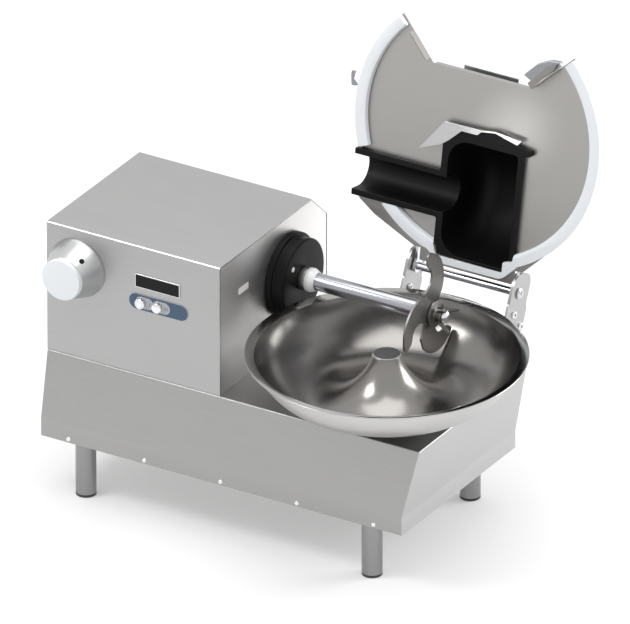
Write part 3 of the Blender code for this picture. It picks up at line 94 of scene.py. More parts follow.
def grain_group():
    """Grain shared by every surface: fine lines or pebbles vary the tone, the gloss and the height."""
    group = bpy.data.node_groups.new("surface_grain", "ShaderNodeTree")
    for name, way, kind in (
        ("Colour", "INPUT", "NodeSocketColor"), ("Roughness", "INPUT", "NodeSocketFloat"),
        ("Stretch", "INPUT", "NodeSocketVector"), ("Scale", "INPUT", "NodeSocketFloat"),
        ("Contrast", "INPUT", "NodeSocketFloat"), ("Depth", "INPUT", "NodeSocketFloat"),
        ("Colour", "OUTPUT", "NodeSocketColor"), ("Roughness", "OUTPUT", "NodeSocketFloat"),
        ("Normal", "OUTPUT", "NodeSocketVector"),
    ):
        group.interface.new_socket(name=name, in_out=way, socket_type=kind)
    nodes, links = group.nodes, group.links
    given = nodes.new("NodeGroupInput")
    made = nodes.new("NodeGroupOutput")
    where = nodes.new("ShaderNodeTexCoord")
    stretched = nodes.new("ShaderNodeVectorMath")
    stretched.operation = "MULTIPLY"
    links.new(where.outputs["Object"], stretched.inputs[0])
    links.new(given.outputs["Stretch"], stretched.inputs[1])
    fine = nodes.new("ShaderNodeTexNoise")
    fine.inputs["Detail"].default_value = 2.0
    links.new(stretched.outputs["Vector"], fine.inputs["Vector"])
    links.new(given.outputs["Scale"], fine.inputs["Scale"])
    cloud = nodes.new("ShaderNodeTexNoise")
    cloud.inputs["Scale"].default_value = 6.0
    links.new(where.outputs["Object"], cloud.inputs["Vector"])

    def joined(operation, *sources):
        node = nodes.new("ShaderNodeMath")
        node.operation = operation
        for socket, source in zip(node.inputs, sources):
            if isinstance(source, float):
                socket.default_value = source
            else:
                links.new(source, socket)
        return node.outputs["Value"]

    lines = joined("MULTIPLY_ADD", fine.outputs["Fac"], 4.0, -2.0)
    clouds = joined("MULTIPLY_ADD", cloud.outputs["Fac"], 2.0, -1.0)
    tone = joined("MULTIPLY_ADD", joined("ADD", lines, clouds), given.outputs["Contrast"], 1.0)
    shade = nodes.new("ShaderNodeVectorMath")
    shade.operation = "SCALE"
    links.new(given.outputs["Colour"], shade.inputs[0])
    links.new(tone, shade.inputs["Scale"])
    links.new(shade.outputs["Vector"], made.inputs["Colour"])
    links.new(joined("MULTIPLY_ADD", lines, 0.04, given.outputs["Roughness"]), made.inputs["Roughness"])
    relief = nodes.new("ShaderNodeBump")
    relief.inputs["Distance"].default_value = 0.0002
    links.new(given.outputs["Depth"], relief.inputs["Strength"])
    links.new(fine.outputs["Fac"], relief.inputs["Height"])
    links.new(relief.outputs["Normal"], made.inputs["Normal"])
    return group


surface_grain = grain_group()


def surface(name, colour, rough, metal=1.0, stretch=(1, 1, 1), scale=320.0, contrast=0.03, depth=0.04,
            **more):
    """A grained surface; more sets the shader's own inputs."""
    made = bpy.data.materials.new(name)
    made.use_nodes = True
    nodes, links = made.node_tree.nodes, made.node_tree.links
    shader = nodes["Principled BSDF"]
    grain = nodes.new("ShaderNodeGroup")
    grain.node_tree = surface_grain
    values = {"Colour": (*colour, 1.0), "Roughness": rough, "Stretch": stretch, "Scale": scale,
              "Contrast": contrast, "Depth": depth}
    for key, value in values.items():
        grain.inputs[key].default_value = value
    links.new(grain.outputs["Colour"], shader.inputs["Base Color"])
    links.new(grain.outputs["Roughness"], shader.inputs["Roughness"])
    links.new(grain.outputs["Normal"], shader.inputs["Normal"])
    shader.inputs["Metallic"].default_value = metal
    for key, value in more.items():
        shader.inputs[key.replace("_", " ")].default_value = value
    return made


def moulded(name, colour, rough, depth=0.06, **more):
    """A surface that is no metal, with fine pebbles in place of drawn lines."""
    return surface(name, colour, rough, 0.0, scale=900.0, depth=depth, **more)


housing_steel = surface("housing_steel", (0.43, 0.429, 0.428), 0.42, stretch=(1, 1, 0.04))
# Bright look for the sheet's cut ends, also painted on the front-top bend as a highlight
cut_edge_and_bend_highlight = surface("cut_edge_and_bend_highlight", (0.80, 0.80, 0.80), 0.25, contrast=0.01, depth=0.0)
# Lighter copy of the housing steel for the right end plate: painted light on the machine's right side
end_plate_painted_light = surface("end_plate_painted_light", (0.80, 0.79, 0.78), 0.38, stretch=(1, 0.04, 1))
base_steel = surface("base_steel", (0.38, 0.377, 0.37), 0.42, stretch=(0.04, 1, 1))
# Lighter copy of the base steel for the sheet's side faces: painted light on the sides
base_sides_painted_light = surface("base_sides_painted_light", (0.53, 0.53, 0.53), 0.42, stretch=(1, 0.04, 1))
lid_steel = surface("lid_steel", (0.43, 0.42, 0.405), 0.40, stretch=(0.04, 1, 1), contrast=0.012)
strip_steel = surface("strip_steel", (0.34, 0.35, 0.37), 0.34, contrast=0.01)
# Dark band steel: the mouth band's own colour, and painted shade on the lid sheet's folds
band_steel_and_fold_shade = surface("band_steel_and_fold_shade", (0.30, 0.285, 0.27), 0.40, contrast=0.01)
bent_steel = surface("bent_steel", (0.60, 0.60, 0.60), 0.30, stretch=(0.04, 1, 1))
hinge_steel = surface("hinge_steel", (0.43, 0.43, 0.43), 0.34, contrast=0.02)
bowl_steel = surface("bowl_steel", (0.56, 0.555, 0.545), 0.36, contrast=0.01, depth=0.0)
brim_steel = surface("brim_steel", (0.42, 0.415, 0.405), 0.12, contrast=0.01, depth=0.0)
# Darker copy of the bowl steel for the bowl's inside: painted shade for its dark reflections
bowl_inside_painted_shade = surface("bowl_inside_painted_shade", (0.25, 0.24, 0.23), 0.22, contrast=0.01, depth=0.0)
tube_steel = surface("tube_steel", (0.30, 0.30, 0.30), 0.32, stretch=(1, 1, 0.05))
shaft_chrome = surface("shaft_chrome", (0.38, 0.39, 0.42), 0.20, stretch=(1, 1, 0.05), depth=0.01)
bright_chrome = surface("bright_chrome", (0.80, 0.80, 0.82), 0.09, contrast=0.01, depth=0.0)
blade_steel = surface("blade_steel", (0.22, 0.212, 0.204), 0.38, stretch=(1, 0.05, 1))
rod_chrome = surface("rod_chrome", (0.58, 0.59, 0.62), 0.18, depth=0.0)
nut_steel = surface("nut_steel", (0.18, 0.172, 0.165), 0.34, contrast=0.01)
ring_steel = surface("ring_steel", (0.40, 0.385, 0.37), 0.40)
cast_aluminium = surface("cast_aluminium", (0.56, 0.565, 0.57), 0.34, stretch=(1, 1, 0.08))
plate_rim = surface("plate_rim", (0.70, 0.70, 0.70), 0.20)
gear_bronze = surface("gear_bronze", (0.55, 0.36, 0.16), 0.35)
grey_iron = surface("grey_iron", (0.16, 0.17, 0.18), 0.55, 0.6, depth=0.1)
black_moulding = moulded("black_moulding", (0.004, 0.004, 0.004), 0.48, Specular_IOR_Level=0.18)
black_cover = moulded("black_cover", (0.005, 0.005, 0.005), 0.42, Specular_IOR_Level=0.14)
dark_cap = moulded("dark_cap", (0.040, 0.040, 0.040), 0.45)
white_moulding = moulded("white_moulding", (0.82, 0.85, 0.88), 0.38, 0.03, contrast=0.01)
white_nylon = moulded("white_nylon", (0.97, 0.975, 0.98), 0.35, 0.02, contrast=0.01)
panel_blue = moulded("panel_blue", (0.068, 0.113, 0.180), 0.45, 0.02, Specular_IOR_Level=0.3)
label_grey = moulded("label_grey", (0.42, 0.43, 0.45), 0.40, 0.01)
plate_black = moulded("plate_black", (0.006, 0.006, 0.006), 0.32, 0.01, Specular_IOR_Level=0.18)
mark_ink = moulded("mark_ink", (0.10, 0.11, 0.13), 0.5, 0.0)
motor_paint = moulded("motor_paint", (0.10, 0.13, 0.17), 0.45)
belt_rubber = moulded("belt_rubber", (0.02, 0.02, 0.02), 0.75, 0.15)


# Shapes

def finished(obj, look, body, replaces=(), angle=35):
    """Smooth the piece by angle, give it its look and its body."""
    mesh = obj.data
    mesh.materials.clear()
    mesh.materials.append(look)
    mesh.shade_smooth()
    mesh.set_sharp_from_angle(angle=math.radians(angle))
    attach(obj, body)
    if replaces:
        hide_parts(*replaces)
    return obj


def second_look(obj, look, chosen):
    """Give the faces that chosen picks another look."""
    mesh = obj.data
    mesh.materials.append(look)
    for face in mesh.polygons:
        if chosen(face):
            face.material_index = len(mesh.materials) - 1


def made_object(name, mesh, place=Matrix.Identity(4)):
    """Put a mesh or a curve into the scene."""
    made = bpy.data.objects.new(name, mesh)
    made.matrix_world = place
    bpy.context.scene.collection.objects.link(made)
    return made


def arc(cx, cy, radius, start, end, count):
    """Points along an arc between two angles in degrees."""
    angles = [math.radians(start + (end - start) * i / count) for i in range(count + 1)]
    return [(cx + radius * math.cos(a), cy + radius * math.sin(a)) for a in angles]


def circle(cx, cy, radius, count=64):
    return arc(cx, cy, radius, 0.0, 360.0, count)[:-1]


def slot(cx, cy, length, height, count=16):
    """An outline with straight long sides and half-round ends."""
    r = height / 2
    half = length / 2 - r
    return arc(cx + half, cy, r, -90, 90, count) + arc(cx - half, cy, r, 90, 270, count)


def box_outline(x0, y0, x1, y1):
    return [(x0, y0), (x1, y0), (x1, y1), (x0, y1)]


def softened(points, radius, count=5, closed=True):
    """Round each corner; radius is one number, or one for each point."""
    made = []
    total = len(points)
    for i, here in enumerate(points):
        wanted = radius[i] if isinstance(radius, (list, tuple)) else radius
        if wanted <= 0 or (not closed and i in (0, total - 1)):
            made.append(tuple(here))
            continue
        corner = Vector(here)
        back = Vector(points[i - 1]) - corner
        ahead = Vector(points[(i + 1) % total]) - corner
        half = back.angle(ahead) / 2
        if abs(half - quarter) < 0.01:
            made.append(tuple(here))
            continue
        cut = min(wanted / math.tan(half), 0.48 * min(back.length, ahead.length))
        r = cut * math.tan(half)
        middle = corner + (back.normalized() + ahead.normalized()).normalized() * (r / math.sin(half))
        first = corner + back.normalized() * cut - middle
        last = corner + ahead.normalized() * cut - middle
        turn = first.angle_signed(last)
        for k in range(count + 1):
            step = first.copy()
            step.rotate(Matrix.Rotation(-turn * k / count, 2))
            made.append(tuple(middle + step))
    return made


def flowing(points, count=4):
    """A closed outline through the points, curved between them."""
    made = []
    total = len(points)
    for i in range(total):
        a, b, c, d = (Vector(points[(i + k) % total]) for k in (-1, 0, 1, 2))
        for k in range(count):
            t = k / count
            p = 0.5 * (
                2 * b + (c - a) * t + (2 * a - 5 * b + 4 * c - d) * t * t + (3 * b - a - 3 * c + d) * t ** 3
            )
            made.append((p.x, p.y))
    return made


def offset_path(path, distance):
    """The open path moved sideways, to its left where the distance is positive."""
    made = []
    for i, here in enumerate(path):
        normals = []
        for a, b in ((i - 1, i), (i, i + 1)):
            if a >= 0 and b < len(path):
                run = (Vector(path[b]) - Vector(path[a])).normalized()
                normals.append(Vector((-run.y, run.x)))
        mean = sum(normals, Vector((0.0, 0.0))).normalized()
        made.append(tuple(Vector(here) + mean * (distance / mean.dot(normals[0]))))
    return made


def upright(outline):
    """Turn (Y, Z) points into the local (X, Y) of a piece that is stood across the X axis."""
    return [(-z, y) for y, z in outline]


def turned(name, profile, place, steps=96, ring=False):
    """A solid of revolution about local Z from (radius, height) points, outer side from the top down."""
    shape = bmesh.new()
    columns = []
    for k in range(steps):
        a = 2 * math.pi * k / steps
        column = []
        for i, (r, z) in enumerate(profile):
            if r < near and k:
                column.append(columns[0][i])
            else:
                column.append(shape.verts.new((r * math.cos(a), r * math.sin(a), z)))
        columns.append(column)
    count = len(profile)
    for k in range(steps):
        here, there = columns[k], columns[(k + 1) % steps]
        for i in range(count if ring else count - 1):
            j = (i + 1) % count
            corners = []
            for v in (here[i], here[j], there[j], there[i]):
                if v not in corners:
                    corners.append(v)
            if len(corners) > 2:
                shape.faces.new(corners)
    bmesh.ops.recalc_face_normals(shape, faces=shape.faces)
    mesh = bpy.data.meshes.new(name)
    shape.to_mesh(mesh)
    shape.free()
    return made_object(name, mesh, place)


def cylinder(name, radius, low, high, place, steps=40):
    """A plain round piece, mostly used to drill a hole."""
    return turned(name, [(0, high), (radius, high), (radius, low), (0, low)], place, steps)


def flat(name, outlines, low, high, place):
    """A flat piece between two local heights; outlines after the first are holes."""
    curve = bpy.data.curves.new(name, "CURVE")
    curve.dimensions = "2D"
    curve.fill_mode = "BOTH"
    curve.extrude = (high - low) / 2
    for outline in outlines:
        spline = curve.splines.new("POLY")
        spline.points.add(len(outline) - 1)
        spline.use_cyclic_u = True
        for point, (x, y) in zip(spline.points, outline):
            point.co = (x, y, 0.0, 1.0)
    drawn = made_object(name + "_drawn", curve)
    bpy.context.view_layer.update()
    mesh = bpy.data.meshes.new_from_object(drawn.evaluated_get(bpy.context.evaluated_depsgraph_get()))
    bpy.data.objects.remove(drawn, do_unlink=True)
    shape = bmesh.new()
    shape.from_mesh(mesh)
    bmesh.ops.remove_doubles(shape, verts=shape.verts, dist=near)
    bmesh.ops.dissolve_limit(
        shape, angle_limit=0.001, verts=shape.verts, edges=shape.edges, delimit={"NORMAL"},
    )
    bmesh.ops.translate(shape, verts=shape.verts, vec=(0.0, 0.0, (low + high) / 2))
    bmesh.ops.recalc_face_normals(shape, faces=shape.faces)
    shape.to_mesh(mesh)
    shape.free()
    return made_object(name, mesh, place)


def block(name, low, high, place):
    """A box between two corners."""
    mesh = bpy.data.meshes.new(name)
    shape = bmesh.new()
    bmesh.ops.create_cube(shape, size=1.0)
    size = [b - a for a, b in zip(low, high)]
    middle = [(a + b) / 2 for a, b in zip(low, high)]
    fitted = Matrix.Translation(middle) @ Matrix.Diagonal((*size, 1.0))
    bmesh.ops.transform(shape, matrix=fitted, verts=shape.verts)
    shape.to_mesh(mesh)
    shape.free()
    return made_object(name, mesh, place)


def applied(obj):
    """Keep the evaluated mesh in place of the modifiers."""
    bpy.context.view_layer.update()
    mesh = bpy.data.meshes.new_from_object(obj.evaluated_get(bpy.context.evaluated_depsgraph_get()))
    obj.modifiers.clear()
    obj.data = mesh
    return obj


def combined(target, tools, operation="DIFFERENCE"):
    """Cut the tools from the target, or join them to it, and remove them."""
    for tool in tools:
        made = target.modifiers.new(tool.name, "BOOLEAN")
        made.operation = operation
        made.object = tool
        made.solver = "EXACT"
    applied(target)
    for tool in tools:
        bpy.data.objects.remove(tool, do_unlink=True)
    return target


def bevelled(obj, width, segments=3, angle=40):
    made = obj.modifiers.new("rounded_edges", "BEVEL")
    made.width = width
    made.segments = segments
    made.limit_method = "ANGLE"
    made.angle_limit = math.radians(angle)
    made.harden_normals = True
    return obj


def rounded_edges(obj, chosen, radius, segments):
    """Round the edges that chosen picks by the places of their two ends."""
    shape = bmesh.new()
    shape.from_mesh(obj.data)
    edges = [e for e in shape.edges if chosen([v.co for v in e.verts])]
    bmesh.ops.bevel(shape, geom=edges, offset=radius, segments=segments, affect="EDGES", profile=0.5)
    shape.to_mesh(obj.data)
    shape.free()


def rounded_profile(points, radius):
    """A turned outline with its corners rounded, its two ends left sharp."""
    return softened(points, radius, 4, closed=False)


# Base

def base():
    """One folded sheet: deck, leaning skirts and upright band, with screws along the front band."""
    fold_radius, screw_radius, screw_pitch, screw_rise = 0.0024, 0.0046, 0.160, 0.007
    foot_length = deck_length - side_lean
    rings = (
        (0.0, deck_length, 0.0, deck_depth, 0.0),
        (0.0, foot_length, -front_lean, deck_depth, -skirt_height),
        (0.0, foot_length, -front_lean, deck_depth, -base_drop),
    )
    mesh = bpy.data.meshes.new("base_sheet")
    shape = bmesh.new()
    made = []
    for x0, x1, y0, y1, z in rings:
        made.append([shape.verts.new((x, y, z)) for x, y in box_outline(x0, y0, x1, y1)])
    shape.faces.new(made[0])
    for upper, lower in zip(made, made[1:]):
        for k in range(4):
            beside = (k + 1) % 4
            shape.faces.new((upper[k], lower[k], lower[beside], upper[beside]))
    folds = [e for e in shape.edges if not e.is_boundary]
    bmesh.ops.bevel(shape, geom=folds, offset=fold_radius, segments=4, affect="EDGES", profile=0.5)
    bmesh.ops.recalc_face_normals(shape, faces=shape.faces)
    shape.to_mesh(mesh)
    shape.free()
    shell = made_object("base_sheet", mesh, datum)
    wall = shell.modifiers.new("sheet", "SOLIDIFY")
    wall.thickness = base_sheet
    wall.offset = -1.0
    wall.use_even_offset = True
    normals = shell.modifiers.new("normals", "WEIGHTED_NORMAL")
    normals.keep_sharp = True
    finished(shell, base_steel, "machine", ["base_shell"])
    # Painted light: the side faces of the same sheet get a lighter copy of its steel
    second_look(shell, base_sides_painted_light, lambda face: abs(face.normal.x) > 0.7)
    head = [(0, 0.0024), (0.0036, 0.0020), (screw_radius, 0.0), (screw_radius, -0.001), (0, -0.001)]
    facing_front = Matrix.Rotation(quarter, 4, "X")
    for k in range(-2, 3):
        x = foot_length / 2 + k * screw_pitch
        place = datum @ Matrix.Translation((x, -front_lean, screw_rise - base_drop)) @ facing_front
        screw = turned(f"band_screw_{k + 3}", rounded_profile(head, 0.0006), place, 24)
        finished(screw, bright_chrome, "machine")


def legs():
    """Four tubes with a stud up into the base, each on a rubber foot that plugs into it."""
    from_end, from_side, wall, open_end, end_wall = 0.0785, 0.028, 0.002, 0.0056, 0.006
    stud_radius, stud_height = 0.005, 0.018
    plug_radius, plug_height, sole = 0.0165, 0.015, 0.005
    inner = leg_radius - wall
    tube_profile = [
        (0, stud_height), (stud_radius, stud_height), (stud_radius, 0), (leg_radius, 0),
        (leg_radius, -leg_height + open_end), (inner, -leg_height + open_end),
        (inner, -end_wall), (0, -end_wall),
    ]
    foot_profile = rounded_profile([
        (0, plug_height), (plug_radius, plug_height), (plug_radius, 0.0), (leg_radius, 0.0),
        (leg_radius, -sole), (0, -sole),
    ], 0.0008)
    for side, x in (("left", from_end), ("right", deck_length - side_lean - from_end)):
        for depth, y in (("front", -front_lean + from_side), ("rear", deck_depth - from_side)):
            node = f"{depth}_{side}"
            tube_place = datum @ Matrix.Translation((x, y, -base_drop - gap))
            tube = turned("tube_leg_" + node, tube_profile, tube_place, 64)
            finished(tube, tube_steel, "machine", ["leg_" + node])
            foot_place = datum @ Matrix.Translation((x, y, -(base_drop + leg_height) + sole))
            foot = turned("rubber_foot_" + node, foot_profile, foot_place, 64)
            finished(foot, dark_cap, "machine", ["foot_" + node])


# Housing

def housing_path():
    """The wrapper's outer side from the front's foot over the top to the back's foot."""
    back = house_front + house_depth
    corners = [
        (house_front, gap), (house_front, house_height), (back - chamfer_run, house_height),
        (back, house_height - chamfer_drop), (back, gap),
    ]
    return softened(corners, house_bend, 6, closed=False)


def housing():
    """Bent wrapper with its holes, its bright cut ends and a painted highlight along the front bend, and a
    dark seam beside each end plate.
    """
    hub_hole, gland_hole, button_hole = 0.035, 0.0083, 0.008
    gland_x, gland_z = 0.060, 0.050
    seam_width, seam_depth = 0.0006, 0.0010
    outside = housing_path()
    inside = offset_path(outside, -house_sheet)
    wrapper = flat("housing_sheet", [upright(outside + inside[::-1])], 0.0, house_length, datum @ stood_x)
    gland_place = datum @ Matrix.Translation((gland_x, house_front + house_depth, gland_z)) @ stood_y
    cutters = [
        cylinder("hub_hole", hub_hole, -0.02, 0.02, hub_place, 64),
        cylinder("gland_hole", gland_hole, -0.02, 0.02, gland_place, 32),
    ]
    for x in (start_x, stop_x):
        button_place = front_place @ Matrix.Translation((x, -panel_z, 0))
        cutters.append(cylinder("button_hole", button_hole, -0.01, 0.01, button_place, 32))
    combined(wrapper, cutters)
    bevelled(wrapper, 0.0004, 2, 60)
    finished(wrapper, housing_steel, "machine", ["housing_wrapper"])

    def cut_end_or_highlighted_bend(face):
        return abs(face.normal.z) > 0.9 or (face.normal.x < -0.3 and face.normal.y < -0.3)

    # The cut ends get the bright look, and the front-top bend gets it as a painted highlight
    second_look(wrapper, cut_edge_and_bend_highlight, cut_end_or_highlighted_bend)
    front_and_top = inside[:9]
    outline = upright(front_and_top + offset_path(front_and_top, -seam_depth)[::-1])
    for side, low in (("left", 0.0002), ("right", house_length - 0.0008)):
        seam = flat("end_seam_" + side, [outline], low, low + seam_width, datum @ stood_x)
        finished(seam, plate_black, "machine")


def name_plate():
    """A bare black plate in a bright frame."""
    x, z, half_length, half_height, border = 0.2335, 0.1895, 0.047, 0.0135, 0.0018

    def plate(name, inset, corner, front, back):
        run, rise = half_length - inset, half_height - inset
        outline = softened(box_outline(x - run, -z - rise, x + run, -z + rise), corner)
        return flat(name, [outline], house_front - front, house_front - back, front_place)

    rim = plate("plate_frame", 0.0, 0.001, 0.0020, 0.0001)
    bevelled(rim, 0.0005, 2)
    finished(rim, plate_rim, "machine")
    finished(plate("plate_face", border, 0.0006, 0.0024, 0.0015), plate_black, "machine")


def control_panel():
    """Blue face with a thin pale edge, and a label, a mark and a bezel for each button."""
    face_length, face_height, edge_width, edge_gap = 0.122, 0.030, 0.0016, 0.0002
    hole_radius, bezel_radius, bezel_inner, bezel_height = 0.0078, 0.0112, 0.0102, 0.0024
    label_length, label_height, label_shift = 0.0365, 0.0235, 0.0065
    bar_near, bar_far, bar_half, ring_shift = 0.0165, 0.0173, 0.0035, 0.0170
    back = house_front - gap
    face = back - panel_sheet
    mid = -panel_z
    holes = [circle(x, mid, hole_radius, 40) for x in (start_x, stop_x)]
    outline = slot(panel_x, mid, face_length, face_height, 20)
    panel = flat("panel_face", [outline, *holes], face, back, front_place)
    bevelled(panel, 0.0005, 2)
    finished(panel, panel_blue, "machine", ["control_panel"])
    edge_outlines = [
        slot(panel_x, mid, face_length + wider, face_height + wider, 20) for wider in (edge_width, edge_gap)
    ]
    finished(flat("panel_edge", edge_outlines, face + 0.0004, back, front_place), label_grey, "machine")
    marks = {
        "start": [box_outline(start_x + bar_near, mid - bar_half, start_x + bar_far, mid + bar_half)],
        "stop": [circle(stop_x + ring_shift, mid, radius, 24) for radius in (0.0032, 0.0023)],
    }
    for name, x in (("start", start_x), ("stop", stop_x)):
        label_outlines = [
            slot(x + label_shift, mid, label_length, label_height, 16), circle(x, mid, bezel_radius, 40),
        ]
        label = flat(name + "_label", label_outlines, face - 0.0004, face + 0.0001, front_place)
        finished(label, label_grey, "machine")
        mark = flat(name + "_mark", marks[name], face - 0.0006, face - 0.0003, front_place)
        finished(mark, mark_ink, "machine")
        bezel_outline = softened([
            (bezel_radius, face - bezel_height), (bezel_radius, face), (bezel_inner, face),
            (bezel_inner, face - bezel_height),
        ], 0.0004, 3)
        bezel_place = front_place @ Matrix.Translation((x, mid, 0))
        bezel = turned(name + "_bezel", bezel_outline, bezel_place, 48, ring=True)
        finished(bezel, bright_chrome, "machine")


def buttons():
    """Two push heads: start has a ring groove round its middle, stop is domed."""
    head_radius, stem_radius, stem_end, head_height = 0.0099, 0.007, 0.0146, 0.009
    face = house_front - gap - panel_sheet
    front = face - head_height
    under = face - 0.0033
    stem = [(0, stem_end), (stem_radius, stem_end), (stem_radius, under), (head_radius, under)]
    grooved = [
        (head_radius, front + 0.001), (0.0090, front), (0.0075, front), (0.0068, front + 0.0012),
        (0.0056, front + 0.0012), (0.0050, front + 0.0002), (0.0030, front - 0.0002), (0, front - 0.0003),
    ]
    domed = [
        (head_radius, front + 0.0016), (0.0088, front + 0.0002), (0.0060, front - 0.0006),
        (0.0030, front - 0.0009), (0, front - 0.001),
    ]
    for name, x, head in (("start", start_x, grooved), ("stop", stop_x, domed)):
        place = front_place @ Matrix.Translation((x, -panel_z, 0))
        push = turned(name + "_push_head", stem + head, place, 56)
        finished(push, bright_chrome, name + "_push", [name + "_button"])


def hub():
    """Cast cone with its tube into the housing and a clamp hole, and a white plug with a groove round it."""
    bore, bore_end, tube_inner, tube_outer, tube_end = 0.0175, 0.022, 0.0203, 0.026, 0.215
    spigot_radius, spigot_end, foot_edge = 0.0345, 0.0085, -0.003
    clamp_radius, clamp_back, clamp_turn = 0.005, 0.033, 50
    plug_radius, plug_length, cap_depth = 0.0172, 0.030, 0.0080
    back, mouth = house_front - gap, -hub_reach
    cone = softened(
        [(hub_base, back), (hub_base, foot_edge), (hub_nose + 0.001, mouth + 0.001), (hub_nose, mouth)],
        [0, 0.0035, 0.0006, 0], 4, closed=False,
    )
    body = turned("hub_cone", [
        (tube_inner, tube_end), (tube_outer, tube_end), (tube_outer, spigot_end),
        (spigot_radius, spigot_end), (spigot_radius, back), *cone,
        (bore, mouth), (bore, bore_end), (tube_inner, bore_end),
    ], hub_place, 128, ring=True)
    turn = Matrix.Rotation(-math.radians(clamp_turn), 4, "Z")
    hole_place = hub_place @ Matrix.Translation((0, 0, -clamp_back)) @ turn @ stood_x
    combined(body, [cylinder("clamp_drill", clamp_radius, 0.020, 0.07, hole_place)])
    finished(body, cast_aluminium, "machine", ["hub_casting"], 30)
    # A black cylinder inside the clamp hole: painted shade in the hole
    dark = cylinder("clamp_hole_shade", clamp_radius - 0.0001, 0.030, 0.0385, hole_place)
    finished(dark, plate_black, "machine")
    seat = mouth - gap
    cap = softened([
        (hub_nose, seat), (hub_nose, seat - 0.0030), (hub_nose - 0.0009, seat - 0.0036),
        (hub_nose, seat - 0.0042), (hub_nose, seat - cap_depth), (0, seat - cap_depth),
    ], [0, 0.0006, 0.0005, 0.0006, 0.0026, 0], 5, closed=False)
    plug = turned("hub_plug_cap", [
        (0, mouth + plug_length), (0.016, mouth + plug_length), (plug_radius, mouth + plug_length - 0.0015),
        (plug_radius, seat), *cap,
    ], hub_place, 128)
    finished(plug, white_moulding, "plug", ["hub_plug"], 40)


# Shaft

def shaft_cover():
    """Stepped black disc round the shaft, with one pale screw."""
    start = right_face + gap
    end = start + cover_depth
    inner, disc_radius, flange_radius, flange_depth = shaft_radius + 0.0015, 0.073, 0.0790, 0.0120
    screw_radius, screw_reach, screw_turn = 0.0050, 0.049, math.radians(139)
    cover = turned(
        "shaft_cover_disc",
        softened([
            (inner, end), (disc_radius, end), (disc_radius, start + 0.0150),
            (disc_radius + 0.0008, start + flange_depth), (flange_radius, start + flange_depth),
            (flange_radius, start), (inner, start),
        ], [0.0006, 0.0032, 0.0018, 0.0012, 0.0022, 0.0004, 0.0004], 5),
        knife_place, 160, ring=True,
    )
    finished(cover, black_cover, "machine", ["shaft_cover"])
    y, z = screw_reach * math.cos(screw_turn), screw_reach * math.sin(screw_turn)
    head = [(0, 0.0012), (0.0026, 0.0012), (0.0046, 0.0012), (screw_radius, -0.001), (0, -0.001)]
    screw_place = knife_place @ Matrix.Translation((-z, y, end))
    finished(turned("cover_screw", rounded_profile(head, 0.0007), screw_place, 32), white_nylon, "machine")


def shaft():
    """Bright tube over the shaft, and the ring and the white cone at its root."""
    ring_radius, ring_depth, cone_radius, cone_depth = 0.022, 0.012, 0.0222, 0.017
    tube_start, tube_end = 0.400, 0.6428
    start = right_face + gap + cover_depth + gap
    bore = shaft_radius + gap
    ring = turned(
        "collar_ring",
        softened([
            (bore, start + ring_depth), (ring_radius, start + ring_depth),
            (ring_radius, start), (bore, start),
        ], 0.0006, 3),
        knife_place, 96, ring=True,
    )
    finished(ring, ring_steel, "knife_head", ["shaft_collar"])
    root = start + ring_depth + gap
    cone = turned(
        "shaft_cone",
        softened([
            (bore, root + cone_depth), (shaft_radius + 0.0012, root + cone_depth),
            (cone_radius, root + 0.0065), (cone_radius, root), (bore, root),
        ], [0, 0.0004, 0.0008, 0.0004, 0], 3),
        knife_place, 96, ring=True,
    )
    finished(cone, white_nylon, "knife_head", ["shaft_sleeve"])
    outer, inner = shaft_radius + 0.0002, shaft_radius - 0.001
    tube = turned(
        "shaft_tube",
        softened([(outer, tube_end), (outer, tube_start), (inner, tube_start), (inner, tube_end)],
                 [0.0006, 0, 0, 0], 3),
        knife_place, 96, ring=True,
    )
    finished(tube, shaft_chrome, "knife_head")


# One blade's edge from heel to tip and back to its ring, as (Y, Z) from the shaft
blade_edge = (
    (0.0442, -0.0010), (0.0587, 0.0084), (0.0673, 0.0196), (0.0717, 0.0380), (0.0700, 0.0562),
    (0.0616, 0.0775), (0.0500, 0.0905), (0.0405, 0.0965), (0.0335, 0.1010), (0.0265, 0.1034),
    (0.0200, 0.1030), (0.0162, 0.0995), (0.0150, 0.0930), (0.0160, 0.0808), (0.0270, 0.0690),
    (0.0304, 0.0577), (0.0270, 0.0450), (0.0183, 0.0363), (0.0050, 0.0300), (-0.0077, 0.0269),
)


def knives():
    """Three sickle blades on the shaft's end, with a spacer joined to each of the first two."""
    first, pitch, thickness = 0.644, 0.011, 0.004
    seat, spacer_radius, ring_radius = 0.0123, 0.019, 0.021
    hub_ring = arc(0, 0, ring_radius, 112, 335, 40)
    outline = upright(flowing(list(blade_edge), 4)[:-4] + hub_ring)
    for index, (name, turn) in enumerate((("rear", 0.0), ("middle", 240.0), ("front", 120.0))):
        start = first + pitch * index
        place = knife_place @ Matrix.Rotation(math.radians(turn), 4, "Z")
        blade = flat(f"blade_{name}", [outline, circle(0, 0, seat, 48)], start, start + thickness, place)
        if index < 2:
            near_end, far_end = start + 0.001, start + pitch - gap
            spacer = turned("spacer", [
                (seat, far_end), (spacer_radius, far_end), (spacer_radius, near_end), (seat, near_end),
            ], place, 48, ring=True)
            combined(blade, [spacer], "UNION")
        bevelled(blade, 0.0009, 2, 60)
        finished(blade, blade_steel, "knife_head", ["knife_" + name])


